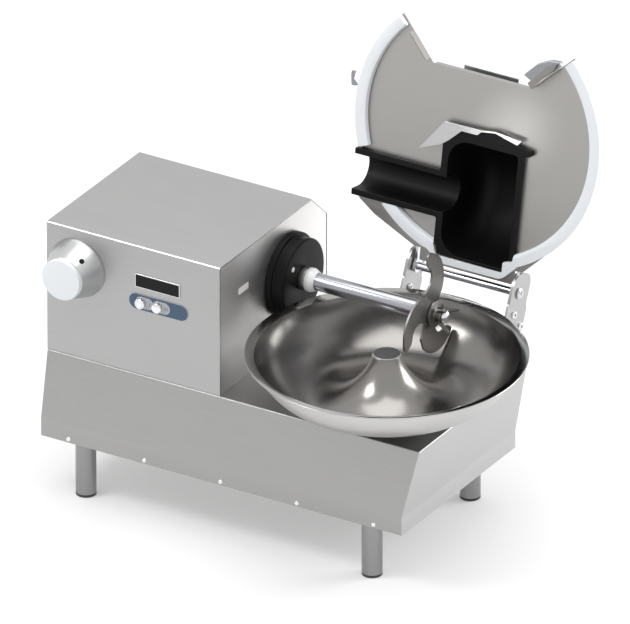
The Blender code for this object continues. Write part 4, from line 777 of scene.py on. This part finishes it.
def wing_nut():
    """Dark flanged nut with three thin wings and a bright domed end."""
    start = 0.670 + gap
    flange_radius, body_radius, bore, dome_radius = 0.0262, 0.0135, 0.0083, 0.0124
    wing_half, first_turn = 0.0014, -20
    nut = turned(
        "wing_nut_body",
        softened([
            (0, start + 0.0215), (0.0085, start + 0.0215), (body_radius, start + 0.0180),
            (body_radius, start + 0.0055), (flange_radius, start + 0.0040), (flange_radius, start),
            (bore, start), (bore, start + 0.0205), (0, start + 0.0205),
        ], [0, 0.001, 0.002, 0.002, 0.0012, 0.0004, 0, 0, 0], 3, closed=False),
        knife_place, 64,
    )
    wing_outline = softened([
        (0.0115, start + 0.0080), (0.0180, start + 0.0130), (0.0285, start + 0.0330),
        (0.0265, start + 0.0370), (0.0200, start + 0.0300), (0.0115, start + 0.0175),
    ], 0.002, 4)
    wings = []
    for k in range(3):
        turn = Matrix.Rotation(math.radians(first_turn + 120 * k), 4, "Z")
        wing_place = knife_place @ turn @ Matrix.Rotation(quarter, 4, "X")
        wings.append(flat(f"wing_{k}", [wing_outline], -wing_half, wing_half, wing_place))
    combined(nut, wings, "UNION")
    bevelled(nut, 0.0006, 2, 50)
    finished(nut, nut_steel, "knife_head", ["knife_nut"], 50)
    dome = turned(
        "nut_dome",
        softened([
            (0, start + 0.0300), (0.0060, start + 0.0292), (0.0104, start + 0.0262),
            (dome_radius, start + 0.0224), (dome_radius, start + 0.0216), (0, start + 0.0216),
        ], [0, 0.002, 0.002, 0.0006, 0.0004, 0], 3, closed=False),
        knife_place, 48,
    )
    finished(dome, bright_chrome, "knife_head", (), 50)


# Bowl

def bowl():
    """Turned bowl: a ring channel under the knives, a centre cone with its cap, and a flared brim."""
    channel, channel_radius, under_radius = shaft_y - bowl_y, 0.110, 0.113
    floor_top, floor_under, brim_top, brim_under = 0.115, 0.112, 0.1155, 0.1125
    edge, edge_top, edge_under, bore = 0.2555, 0.1195, 0.1165, 0.0083
    wall_middle, inside_ends, brim_starts = (channel_radius + under_radius) / 2, 0.2385, 0.2300
    cap_radius, cap_top, rim_radius, rim_inner = 0.024, 0.0032, 0.0248, 0.0241

    def hollow(radius, z_inner, z_outer):
        inner = 180 + math.degrees(math.asin((shaft_z - z_inner) / radius))
        outer = 360 - math.degrees(math.asin((shaft_z - z_outer) / radius))
        return arc(channel, shaft_z, radius, inner, outer, 48)

    rim = softened(
        [(0.2372, brim_top), (edge, edge_top), (edge, edge_under), (0.2400, brim_under)],
        [0.0, 0.0012, 0.0012, 0.0], 3, closed=False,
    )
    top, under = hollow(channel_radius, floor_top, brim_top), hollow(under_radius, floor_under, brim_under)
    profile = rim[1:-1] + under[::-1] + [(bore, floor_under), (bore, floor_top)] + top
    made = turned("bowl_shell", profile, bowl_place, 192, ring=True)
    finished(made, bowl_steel, "turning_bowl", ["bowl"], 40)

    def on_inside(face):
        from_axis = math.hypot(face.center.x, face.center.y)
        depth = math.sqrt(max(0.0, wall_middle ** 2 - (from_axis - channel) ** 2))
        return from_axis < inside_ends and face.normal.z > -0.05 and face.center.z > shaft_z - depth

    def on_brim(face):
        from_axis = math.hypot(face.center.x, face.center.y)
        return from_axis > brim_starts and face.normal.z > 0.2 and not on_inside(face)

    # Painted shade: the faces inside the bowl get the darker copy of its steel
    second_look(made, bowl_inside_painted_shade, on_inside)
    second_look(made, brim_steel, on_brim)
    low = floor_top + gap
    cap = turned(
        "bowl_cap_disc",
        rounded_profile([
            (0, low + 0.0038), (0.0195, low + 0.0038), (0.0205, low + cap_top), (cap_radius, low + cap_top),
            (cap_radius, low), (bore, low), (bore, 0.1172), (0, 0.1172),
        ], 0.0009),
        bowl_place, 96,
    )
    finished(cap, dark_cap, "turning_bowl", ["bowl_cap"], 40)
    lip = turned(
        "bowl_cap_rim",
        softened([
            (rim_radius, low + 0.0028), (rim_radius, low), (rim_inner, low), (rim_inner, low + cap_top),
        ], 0.0003, 2),
        bowl_place, 96, ring=True,
    )
    finished(lip, bowl_steel, "turning_bowl")


# Lid: drawn shut round its hinge, from (x, v) points; v runs from the lid's centre to the front

def lid_xy(points):
    """Turn (x, v) points of the lid into its local X and Y."""
    return [(x, -lid_reach - v) for x, v in points]


axis_y, axis_h = shaft_y - hinge_y, shaft_z - hinge_z
duct_v = -lid_reach - axis_y
mouth_left, mouth_right, mouth_v, tip_angle = -0.108, 0.096, 0.103, 45.5
chamber_left, chamber_right, chamber_radius, shell = -0.0525, 0.0895, 0.108, 0.003
duct_radius, duct_left, duct_half = 0.033, -0.244, 0.0445
flange_left, flange_right, foot_v, step_v = -0.0665, 0.098, -0.2465, -0.2275
round_left, round_right = 0.040, 0.008

# The cover's flange: each corner with its rounding
flange_outline = (
    ((duct_left, duct_v + duct_half), 0.002), ((flange_left, duct_v + duct_half), 0.004),
    ((flange_left, -0.0360), 0.002), ((flange_left + 0.012, -0.0280), 0.002), ((-0.0310, -0.0045), 0.004),
    ((0.0040, -0.0045), 0.003), ((0.0095, 0.0035), 0.003), ((0.0380, 0.0080), 0.004),
    ((0.0840, -0.0045), 0.004), ((flange_right, -0.0075), 0.003), ((flange_right + 0.0160, -0.0095), 0.003),
    ((flange_right + 0.0180, -0.0190), 0.005), ((flange_right, -0.0240), 0.003),
    ((flange_right, step_v + 0.008), 0.004), ((flange_right - 0.020, step_v), 0.004),
    ((flange_right - 0.020, foot_v), 0.002), ((flange_left + 0.0075, foot_v + 0.003), 0.003),
    ((flange_left + 0.0060, step_v), 0.003), ((flange_left, step_v + 0.004), 0.003),
    ((flange_left, duct_v - duct_half), 0.004), ((duct_left, duct_v - duct_half), 0.002),
)


def tunnel(radius, bottom, count=64):
    """The arch over the shaft with straight sides down to a height."""
    sides = [(axis_y - radius, bottom), (axis_y + radius, bottom)]
    return arc(axis_y, axis_h, radius, 0, 180, count) + sides


def rounded_end(drum, x, radius, count, bottom):
    """Round a drum's end along its arch and down its two sides."""
    def on_end(ends):
        return all(abs(p.z - x) < near for p in ends) and any(-p.x > bottom + near for p in ends)

    rounded_edges(drum, on_end, radius, count)


def drum_form(name, radius, left_x, right_x, bottom, extra):
    """The drum round the knives, or its hollow; extra makes the outer side's rounding larger."""
    drum = flat(name, [upright(tunnel(radius, bottom))], left_x, right_x, lid_across)
    rounded_end(drum, left_x, round_left + extra, 12, bottom)
    rounded_end(drum, right_x, round_right + extra, 5, bottom)
    return drum


def duct_form(name, radius, bottom, left_x, right_x, count):
    """The duct over the shaft, or its hollow."""
    return flat(name, [upright(tunnel(radius, bottom, count))], left_x, right_x, lid_across)


def knife_cover():
    """Moulded cover: a drum for the knives and a duct for the shaft, rounded where they meet the flange."""
    outline = softened([p for p, _ in flange_outline], [r for _, r in flange_outline], 4)
    joint = rim_top - 0.003
    cover = flat("cover_moulding", [lid_xy(outline)], rim_low, rim_top, lid_place)
    drum = drum_form(
        "drum", chamber_radius + shell, chamber_left - shell, chamber_right + shell, rim_low - 0.02, shell,
    )
    combined(drum, [block("trim", (-0.3, -0.6, rim_low - 0.05), (0.3, 0.1, joint), lid_place)])
    duct = duct_form("duct", duct_radius + shell, joint, duct_left, chamber_left + shell, 32)
    combined(cover, [drum, duct], "UNION")
    combined(cover, [
        drum_form("drum_hollow", chamber_radius, chamber_left, chamber_right, rim_low - 0.03, 0.0),
        duct_form("duct_hollow", duct_radius, rim_low - 0.02, duct_left - 0.01, chamber_left + 0.02, 40),
    ])
    bevelled(cover, 0.0024, 3, 50)
    finished(cover, black_moulding, "lid", ["lid_cover"], 40)


def ring_arc(radius, start, end, step=1.5):
    """An arc round the lid's centre, with a point about every step of degrees."""
    return arc(0, 0, radius, start, end, max(2, round(abs(end - start) / step)))


def rim_outlines():
    """The rim's two lengths: the duct parts them, and the right one swells out round the cover."""
    inner = lid_radius - rim_width
    duct_top = 180 + math.degrees(math.asin(-(duct_v + duct_half + gap) / lid_radius))
    duct_low = 180 + math.degrees(math.asin(-(duct_v - duct_half - gap) / lid_radius))
    lobe_left, lobe_right, end_gap = 0.088, 0.106, 0.8
    left_end = 270 - math.degrees(math.asin(lobe_left / lid_radius))
    right_end = 270 + math.degrees(math.asin(lobe_right / lid_radius))
    lobe = softened(
        [(-0.080, -0.2390), (-0.050, -0.2600), (0.078, -0.2600), (0.104, -0.2330)], [0, 0.030, 0.022, 0],
        8, closed=False,
    )
    left_start, left_stop = 180 - tip_angle + end_gap, duct_top - 0.3
    right_start, right_stop = duct_low + end_gap, 360 + tip_angle - end_gap
    return {
        "left": ring_arc(lid_radius, left_start, left_stop) + ring_arc(inner, left_stop, left_start),
        "right": ring_arc(lid_radius, right_start, left_end) + lobe
        + ring_arc(lid_radius, right_end, right_stop) + ring_arc(inner, right_stop, right_start),
    }


def lid_rim():
    """White rim, rounded inside, and cut clear of the cover's flange, its drum and the duct."""
    inner = lid_radius - rim_width
    notch = softened([
        (flange_left - gap, -0.200), (flange_left - gap, step_v), (flange_left + 0.0065, foot_v - gap),
        (flange_right - 0.0197, foot_v - gap), (flange_right - 0.0197, step_v),
        (flange_right + gap, step_v + 0.006), (flange_right + gap, -0.200),
    ], [0, 0.003, 0.003, 0.003, 0.002, 0.006, 0], 5, closed=False)

    def inner_low_edge(ends):
        return all(
            abs(p.z - rim_low) < near and abs(math.hypot(p.x, p.y + lid_reach) - inner) < 0.0001
            for p in ends
        )

    for side, outline in rim_outlines().items():
        rim = flat("white_rim_" + side, [lid_xy(outline)], rim_low, rim_top, lid_place)
        rounded_edges(rim, inner_low_edge, 0.0060, 2)
        combined(rim, [block(
            "duct_gap", (-0.3, -lid_reach - duct_v - duct_half - gap, rim_low - 0.01),
            (flange_left - 0.002, -lid_reach - duct_v + duct_half + gap, rim_top + 0.01), lid_place,
        )])
        if side == "right":
            rebate_left, rebate_right = chamber_left - shell - gap, chamber_right + shell + gap
            rebate = upright(tunnel(chamber_radius + shell + gap, rim_top - 0.0033))
            combined(rim, [
                flat("notch", [lid_xy(notch)], rim_low - 0.01, rim_top + 0.01, lid_place),
                flat("rebate", [rebate], rebate_left, rebate_right, lid_across),
            ])
        bevelled(rim, 0.0022, 3, 50)
        finished(rim, white_moulding, "lid", ["lid_rim_" + side])


def lid_skin():
    """Sheet with its mouth at the front, openings for drum and duct, and the folds along the mouth."""
    r = lid_radius - 0.0005
    tip_x, tip_v = r * math.cos(math.radians(tip_angle)), r * math.sin(math.radians(tip_angle))
    skin_right = bracket_right_x - 0.005 - bowl_x
    low_end = -(lid_reach - rod_radius - 0.008)
    fold_half, fold_depth, fold_rise, front_rise = 0.001, 0.0154, 0.002, 0.010
    corners = (
        [((mouth_left, mouth_v), 0.001)]
        + [(p, 0) for p in ring_arc(r, 180 - tip_angle, 201)]
        + [((-0.2350, -0.094), 0.006), ((-0.2350, -0.182), 0.010), ((-0.198, -0.2065), 0.030),
           ((-0.111, -0.2450), 0.010), ((-0.098, -0.2450), 0.001), ((-0.098, low_end), 0.001),
           ((skin_right, low_end), 0.001), ((skin_right, -0.2410), 0.001), ((0.114, -0.2410), 0.010),
           ((0.170, -0.186), 0.010)]
        + [(p, 0) for p in ring_arc(r, 318, 360 + tip_angle)]
        + [((mouth_right, mouth_v), 0.001)]
    )
    outline = softened([p for p, _ in corners], [q for _, q in corners], 5)
    skin = flat("lid_sheet", [lid_xy(outline)], skin_low, skin_top, lid_place)
    drum_half, duct_open = chamber_radius + shell + gap, duct_radius + shell + gap
    openings = {
        "drum_opening": box_outline(chamber_left - shell - gap, duct_v - drum_half,
                                    chamber_right + shell + gap, duct_v + drum_half),
        "duct_opening": box_outline(-0.3, duct_v - duct_open, chamber_left, duct_v + duct_open),
    }
    combined(skin, [flat(name, [lid_xy(hole)], -0.05, 0.05, lid_place) for name, hole in openings.items()])
    mouth_y = -lid_reach - mouth_v
    flanges = [block("front_flange", (mouth_left + 0.003, mouth_y, skin_low),
                     (mouth_right - 0.003, mouth_y + fold_rise, skin_top + front_rise), lid_place)]
    for side, corner, end in ((-1, mouth_left, -tip_x), (1, mouth_right, tip_x)):
        run = Vector((end - corner, tip_v - mouth_v))
        inward = Vector((-run.y, run.x)).normalized() * (-0.0012 * side)
        place = lid_place @ Matrix.Translation((corner + inward.x, mouth_y - inward.y, skin_low))
        place = place @ Matrix.Rotation(-math.atan2(run.y, run.x), 4, "Z")
        low, high = (0.010, -fold_half, -fold_depth), (run.length - 0.036, fold_half, fold_rise)
        flanges.append(block("mouth_flange", low, high, place))
    combined(skin, flanges, "UNION")
    bevelled(skin, 0.0006, 2, 50)
    finished(skin, lid_steel, "lid", ["lid_panel"])
    # Painted shade: the folds under the sheet get the darker band steel
    second_look(skin, band_steel_and_fold_shade, lambda face: face.center.z < skin_low - 0.001)


def deflector():
    """Flat plate on the cover's front edge, with a left wing."""
    thickness = 0.0015
    high = rim_low - gap
    outline = softened([
        (-0.0659, 0.0056), (0.0099, 0.0069), (0.0396, 0.0112), (0.0941, 0.0058), (0.0860, -0.0035),
        (0.0396, 0.0080), (0.0099, 0.0035), (0.0030, -0.0040), (-0.0296, -0.0044), (-0.0548, -0.0281),
        (-0.0700, -0.0396), (-0.1141, -0.0570),
    ], 0.0006, 2)
    plate = flat("deflector_plate", [lid_xy(outline)], high - thickness, high, lid_place)
    bevelled(plate, 0.0004, 2)
    finished(plate, bent_steel, "lid", ["lid_deflector"])


def lid_handle():
    """Bent strip behind the mouth: a foot on the sheet, a web and a lip to the front."""
    half_sheet, web_height, foot_depth, lip_depth = 0.001, 0.024, 0.018, 0.0125
    base_level = skin_top + gap
    y = -lid_reach - mouth_v + 0.010
    path = softened([
        (y + foot_depth, base_level + half_sheet), (y + half_sheet, base_level + half_sheet),
        (y + half_sheet, base_level + web_height), (y - lip_depth, base_level + web_height),
    ], 0.004, 5, closed=False)
    strip = offset_path(path, half_sheet) + offset_path(path, -half_sheet)[::-1]
    grip = flat("handle_strip", [upright(strip)], -0.058, 0.055, lid_across)
    bevelled(grip, 0.0004, 2, 60)
    finished(grip, strip_steel, "lid", ["lid_handle"])


def lid_trim():
    """Band and stiffening strip on the mouth's right side, and the tab on the lid's left."""
    band = [(0.0876, 0.1124), (0.1220, 0.1490), (0.1440, 0.1610), (0.1400, 0.1510), (0.1020, 0.1103),
            (0.0960, 0.1040)]
    strip = softened([
        (0.0760, 0.1244), (0.1015, 0.1507), (0.1134, 0.1573), (0.1284, 0.1635), (0.1456, 0.1646),
        (0.1516, 0.1580), (0.1010, 0.1125),
    ], 0.002, 4)
    tab = softened([
        (-0.2400, 0.0260), (-0.2600, 0.0260), (-0.2680, 0.0330), (-0.2665, 0.0440), (-0.2640, 0.0485),
        (-0.2735, 0.0480), (-0.2745, 0.0400), (-0.2718, 0.0205), (-0.2640, 0.0210), (-0.2560, 0.0235),
        (-0.2400, 0.0235),
    ], 0.0012, 3)
    for name, outline, low, high, rounding, look in (
        ("mouth_band", band, skin_low - 0.0018, skin_low - gap, (0.0004, 2), band_steel_and_fold_shade),
        ("mouth_strip", strip, skin_top + gap, skin_top + 0.0125, (0.0016, 3), strip_steel),
        ("lid_tab", tab, skin_top + gap, skin_top + 0.0025, (0.0004, 2), strip_steel),
    ):
        piece = flat(name, [lid_xy(outline)], low, high, lid_place)
        bevelled(piece, *rounding)
        finished(piece, look, "lid")


def hinge():
    """Rod that turns with the lid's two arms, between two leaning brackets bolted to the deck."""
    rod_left, rod_right = bracket_left_x - 0.0033 - bowl_x, bracket_right_x + 0.0033 - bowl_x
    arms(rod_left + 0.0083, rod_right - 0.0143)
    collar, collar_depth, end_depth, socket = 0.0110, 0.003, 0.005, 0.0036
    rod = turned(
        "hinge_bar",
        rounded_profile([
            (0, rod_right + 0.0025), (socket, rod_right + 0.0025), (socket + 0.0004, rod_right + end_depth),
            (collar - 0.0035, rod_right + end_depth), (collar, rod_right + collar_depth),
            (collar, rod_right), (rod_radius, rod_right), (rod_radius, rod_left), (collar, rod_left),
            (collar, rod_left - collar_depth), (collar - 0.0035, rod_left - end_depth),
            (0, rod_left - end_depth),
        ], 0.0008),
        lid_across, 48,
    )
    finished(rod, rod_chrome, "lid", ["hinge_rod"])
    for side, middle in (("left", bracket_left_x), ("right", bracket_right_x)):
        bracket(side, middle)


def arms(left_start, right_start):
    """Two arms from the rod's eyes along the lid's sheet."""
    eye_radius, thickness, seat = 0.0125, 0.006, skin_top + gap
    outline = upright(
        arc(0, 0, eye_radius, -70, 100, 24)
        + softened([
            (-0.010, 0.0115), (-0.022, 0.0095), (-0.055, 0.0075), (-0.055, seat), (-0.0150, seat),
            (-0.0085, -0.0085),
        ], 0.0015, 3, closed=False)
    )
    for side, start in (("left", left_start), ("right", right_start)):
        eye = circle(0, 0, rod_radius + gap, 40)
        arm = flat("arm_" + side, [outline, eye], start, start + thickness, lid_across)
        bevelled(arm, 0.0006, 2)
        finished(arm, bright_chrome, "lid", ["hinge_arm_" + side])


def leaned(points):
    """Points along and across a bracket, which leans back from the rod, as (Y, Z)."""
    cosine, sine = math.cos(math.radians(bracket_lean)), math.sin(math.radians(bracket_lean))
    return [(hinge_y + a * cosine + b * sine, hinge_z - a * sine + b * cosine) for a, b in points]


def bracket(side, middle):
    """Round-headed plate on a post with a foot tab, and its two bolts."""
    head_half, post_half, tab_length, tab_height = 0.003, 0.002, 0.020, 0.003
    post_left, post_right, post_top, post_bend = -0.028, 0.043, -0.019, -0.060
    lean = math.radians(bracket_lean)
    place = datum @ stood_x
    head = (
        arc(0.0040, 0.0070, 0.030, 180, 90, 16) + arc(0.0160, 0.0170, 0.020, 90, 0, 12)
        + [(0.036, -0.0235), (-0.026, -0.0235)]
    )
    foot_drop = (post_left * math.sin(lean) - hinge_z + gap) / math.cos(lean)
    front_foot = hinge_y + post_left * math.cos(lean) + foot_drop * math.sin(lean)
    rear_foot = deck_depth - 0.001
    post_corners = leaned([(post_left, post_top), (post_right, post_top), (post_right, post_bend)]) + [
        (rear_foot, 0.020), (rear_foot, gap), (front_foot, gap),
    ]
    eye = circle(hinge_y, hinge_z, rod_radius + gap, 32)
    plate = flat("bracket_head_" + side, [upright(leaned(head)), upright(eye)],
                 middle - head_half, middle + head_half, place)
    post_outline = upright(softened(post_corners, [0.006, 0.010, 0.006, 0.002, 0.001, 0.001], 4))
    post = flat("post", [post_outline], middle - post_half, middle + post_half, place)
    tab = block("tab", (middle, front_foot + 0.004, gap),
                (middle + tab_length, rear_foot - 0.004, gap + tab_height), datum)
    combined(plate, [post, tab], "UNION")
    bevelled(plate, 0.0007, 2, 50)
    finished(plate, hinge_steel, "machine", ["hinge_bracket_" + side])
    bolt_profile = rounded_profile([
        (0.0032, 0.0022), (0.0036, 0.0046), (0.0054, 0.0044), (0.0072, 0.0022), (0.0076, 0), (0, 0),
    ], 0.0006)
    for k, (y, z) in enumerate(leaned([(-0.001, -0.040), (0.033, -0.061)])):
        bolt_place = place @ Matrix.Translation((-z, y, middle + post_half))
        bolt = turned(f"bracket_bolt_{side}_{k + 1}", bolt_profile, bolt_place, 32)
        finished(bolt, bright_chrome, "machine")


def carried_over():
    """Looks of the pieces that the construction already shows as they are."""
    looks = {
        # The right end plate gets the lighter copy of the housing steel as painted light
        end_plate_painted_light: ("housing_right_plate",),
        housing_steel: ("housing_left_plate",),
        base_steel: ("bottom_pan",),
        white_nylon: ("safety_switch",),
        dark_cap: ("cable_gland", "switch_block"),
        tube_steel: (
            "knife_shaft", "main_bearing", "motor_shaft", "worm_shaft", "pto_spindle", "bowl_spindle",
        ),
        cast_aluminium: ("spindle_housing",),
        grey_iron: (
            "shaft_quill", "left_bearing_block", "gear_case", "shaft_pulley", "motor_pulley", "worm_pulley",
        ),
        gear_bronze: ("hub_bush", "pto_wheel", "bowl_wheel"),
        motor_paint: ("motor_frame",),
        belt_rubber: ("motor_belt", "bowl_belt"),
    }
    for look, nodes in looks.items():
        for node in nodes:
            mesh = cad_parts[node].data
            mesh.materials.clear()
            mesh.materials.append(look)


base()
legs()
housing()
name_plate()
control_panel()
buttons()
hub()
shaft_cover()
shaft()
knives()
wing_nut()
bowl()
knife_cover()
lid_rim()
lid_skin()
deflector()
lid_handle()
lid_trim()
hinge()
carried_over()


# Floor, light and camera

floor_glow, room_level = 0.24, 0.72


def background_rays(nodes, links, path):
    """One for the rays that show the background: the camera's, reflected and refracted ones."""
    seen = path.outputs["Is Camera Ray"]
    for other in ("Is Glossy Ray", "Is Transmission Ray"):
        either = nodes.new("ShaderNodeMath")
        either.operation = "MAXIMUM"
        links.new(seen, either.inputs[0])
        links.new(path.outputs[other], either.inputs[1])
        seen = either.outputs["Value"]
    return seen


def hung(light, place, aim):
    """Hang a lamp at one place, turned to another."""
    made = bpy.data.objects.new(light.name, light)
    made.location = datum @ Vector(place)
    made.rotation_euler = (datum @ Vector(aim) - made.location).to_track_quat("-Z", "Y").to_euler()
    bpy.context.scene.collection.objects.link(made)


def floor():
    """White ground: bright enough to fade into the background, and darker only in the machine's shadow."""
    mesh = bpy.data.meshes.new("floor")
    shape = bmesh.new()
    bmesh.ops.create_circle(shape, cap_ends=True, segments=64, radius=30.0)
    shape.to_mesh(mesh)
    shape.free()
    under_feet = Matrix.Translation((0.45, 0.15, -(base_drop + leg_height) - 0.0002))
    ground = made_object("floor", mesh, datum @ under_feet)
    look = moulded("pale_floor", (0.80, 0.80, 0.80), 0.9, 0.0, contrast=0.0)
    nodes, links = look.node_tree.nodes, look.node_tree.links
    shader = nodes["Principled BSDF"]
    shader.inputs["Specular IOR Level"].default_value = 0.0
    path = nodes.new("ShaderNodeLightPath")
    glow = nodes.new("ShaderNodeEmission")
    both = nodes.new("ShaderNodeAddShader")
    level = nodes.new("ShaderNodeMath")
    level.operation = "MULTIPLY"
    level.inputs[1].default_value = floor_glow
    links.new(background_rays(nodes, links, path), level.inputs[0])
    links.new(level.outputs["Value"], glow.inputs["Strength"])
    links.new(shader.outputs["BSDF"], both.inputs[0])
    links.new(glow.outputs["Emission"], both.inputs[1])
    links.new(both.outputs["Shader"], nodes["Material Output"].inputs["Surface"])
    mesh.materials.append(look)


def soft_light(name, place, aim, size, power):
    """An oblong lamp of so many watts, facing its aim."""
    light = bpy.data.lights.new(name, "AREA")
    light.shape = "RECTANGLE"
    light.size, light.size_y = size
    light.energy = power
    hung(light, place, aim)


def studio():
    """Three soft lamps, a narrow one for the bright patch on the lid, and a white room."""
    middle = (0.42, 0.12, 0.05)
    soft_light("top_light", (0.5, 0.3, 2.2), middle, (1.8, 1.4), 16.0)
    soft_light("right_light", (2.7, 2.4, 1.0), middle, (1.7, 1.5), 54.0)
    soft_light("front_light", (-0.78, -1.08, 2.03), middle, (0.9, 0.9), 22.0)
    spot = bpy.data.lights.new("lid_light", "SPOT")
    spot.energy = 6.0
    spot.spot_size = math.radians(4.4)
    spot.spot_blend = 1.0
    spot.shadow_soft_size = 0.05
    hung(spot, (0.04, -0.875, 0.204), (0.725, 0.435, 0.442))
    world = bpy.data.worlds.new("white_studio")
    bpy.context.scene.world = world
    world.use_nodes = True
    nodes, links = world.node_tree.nodes, world.node_tree.links
    nodes.clear()
    out = nodes.new("ShaderNodeOutputWorld")
    path = nodes.new("ShaderNodeLightPath")
    white = nodes.new("ShaderNodeBackground")
    white.inputs["Color"].default_value = (1, 1, 1, 1)
    room = nodes.new("ShaderNodeBackground")
    room.inputs["Color"].default_value = (1, 1, 1, 1)
    room.inputs["Strength"].default_value = room_level
    mix = nodes.new("ShaderNodeMixShader")
    links.new(background_rays(nodes, links, path), mix.inputs["Fac"])
    links.new(room.outputs["Background"], mix.inputs[1])
    links.new(white.outputs["Background"], mix.inputs[2])
    links.new(mix.outputs["Shader"], out.inputs["Surface"])


def camera():
    """The photograph's view, near enough parallel, seen from far away through a long lens."""
    azimuth, elevation = math.radians(30.99), math.radians(27.277)
    distance, sensor, image_width, pixels_per_metre = 40.0, 36.0, 630.0, 557.79
    target = datum @ Vector((0.4725, 0.150, 0.1337))
    level = math.cos(elevation)
    back = Vector((math.sin(azimuth) * level, -math.cos(azimuth) * level, math.sin(elevation)))
    data = bpy.data.cameras.new("camera")
    data.sensor_width = sensor
    data.lens = sensor * distance / (image_width / pixels_per_metre)
    data.clip_start = 1.0
    data.clip_end = 200.0
    made = bpy.data.objects.new("camera", data)
    made.location = target + back * distance
    made.rotation_euler = back.to_track_quat("Z", "Y").to_euler()
    bpy.context.scene.collection.objects.link(made)
    bpy.context.scene.camera = made


floor()
studio()
camera()
bpy.context.scene.view_settings.view_transform = "Standard"
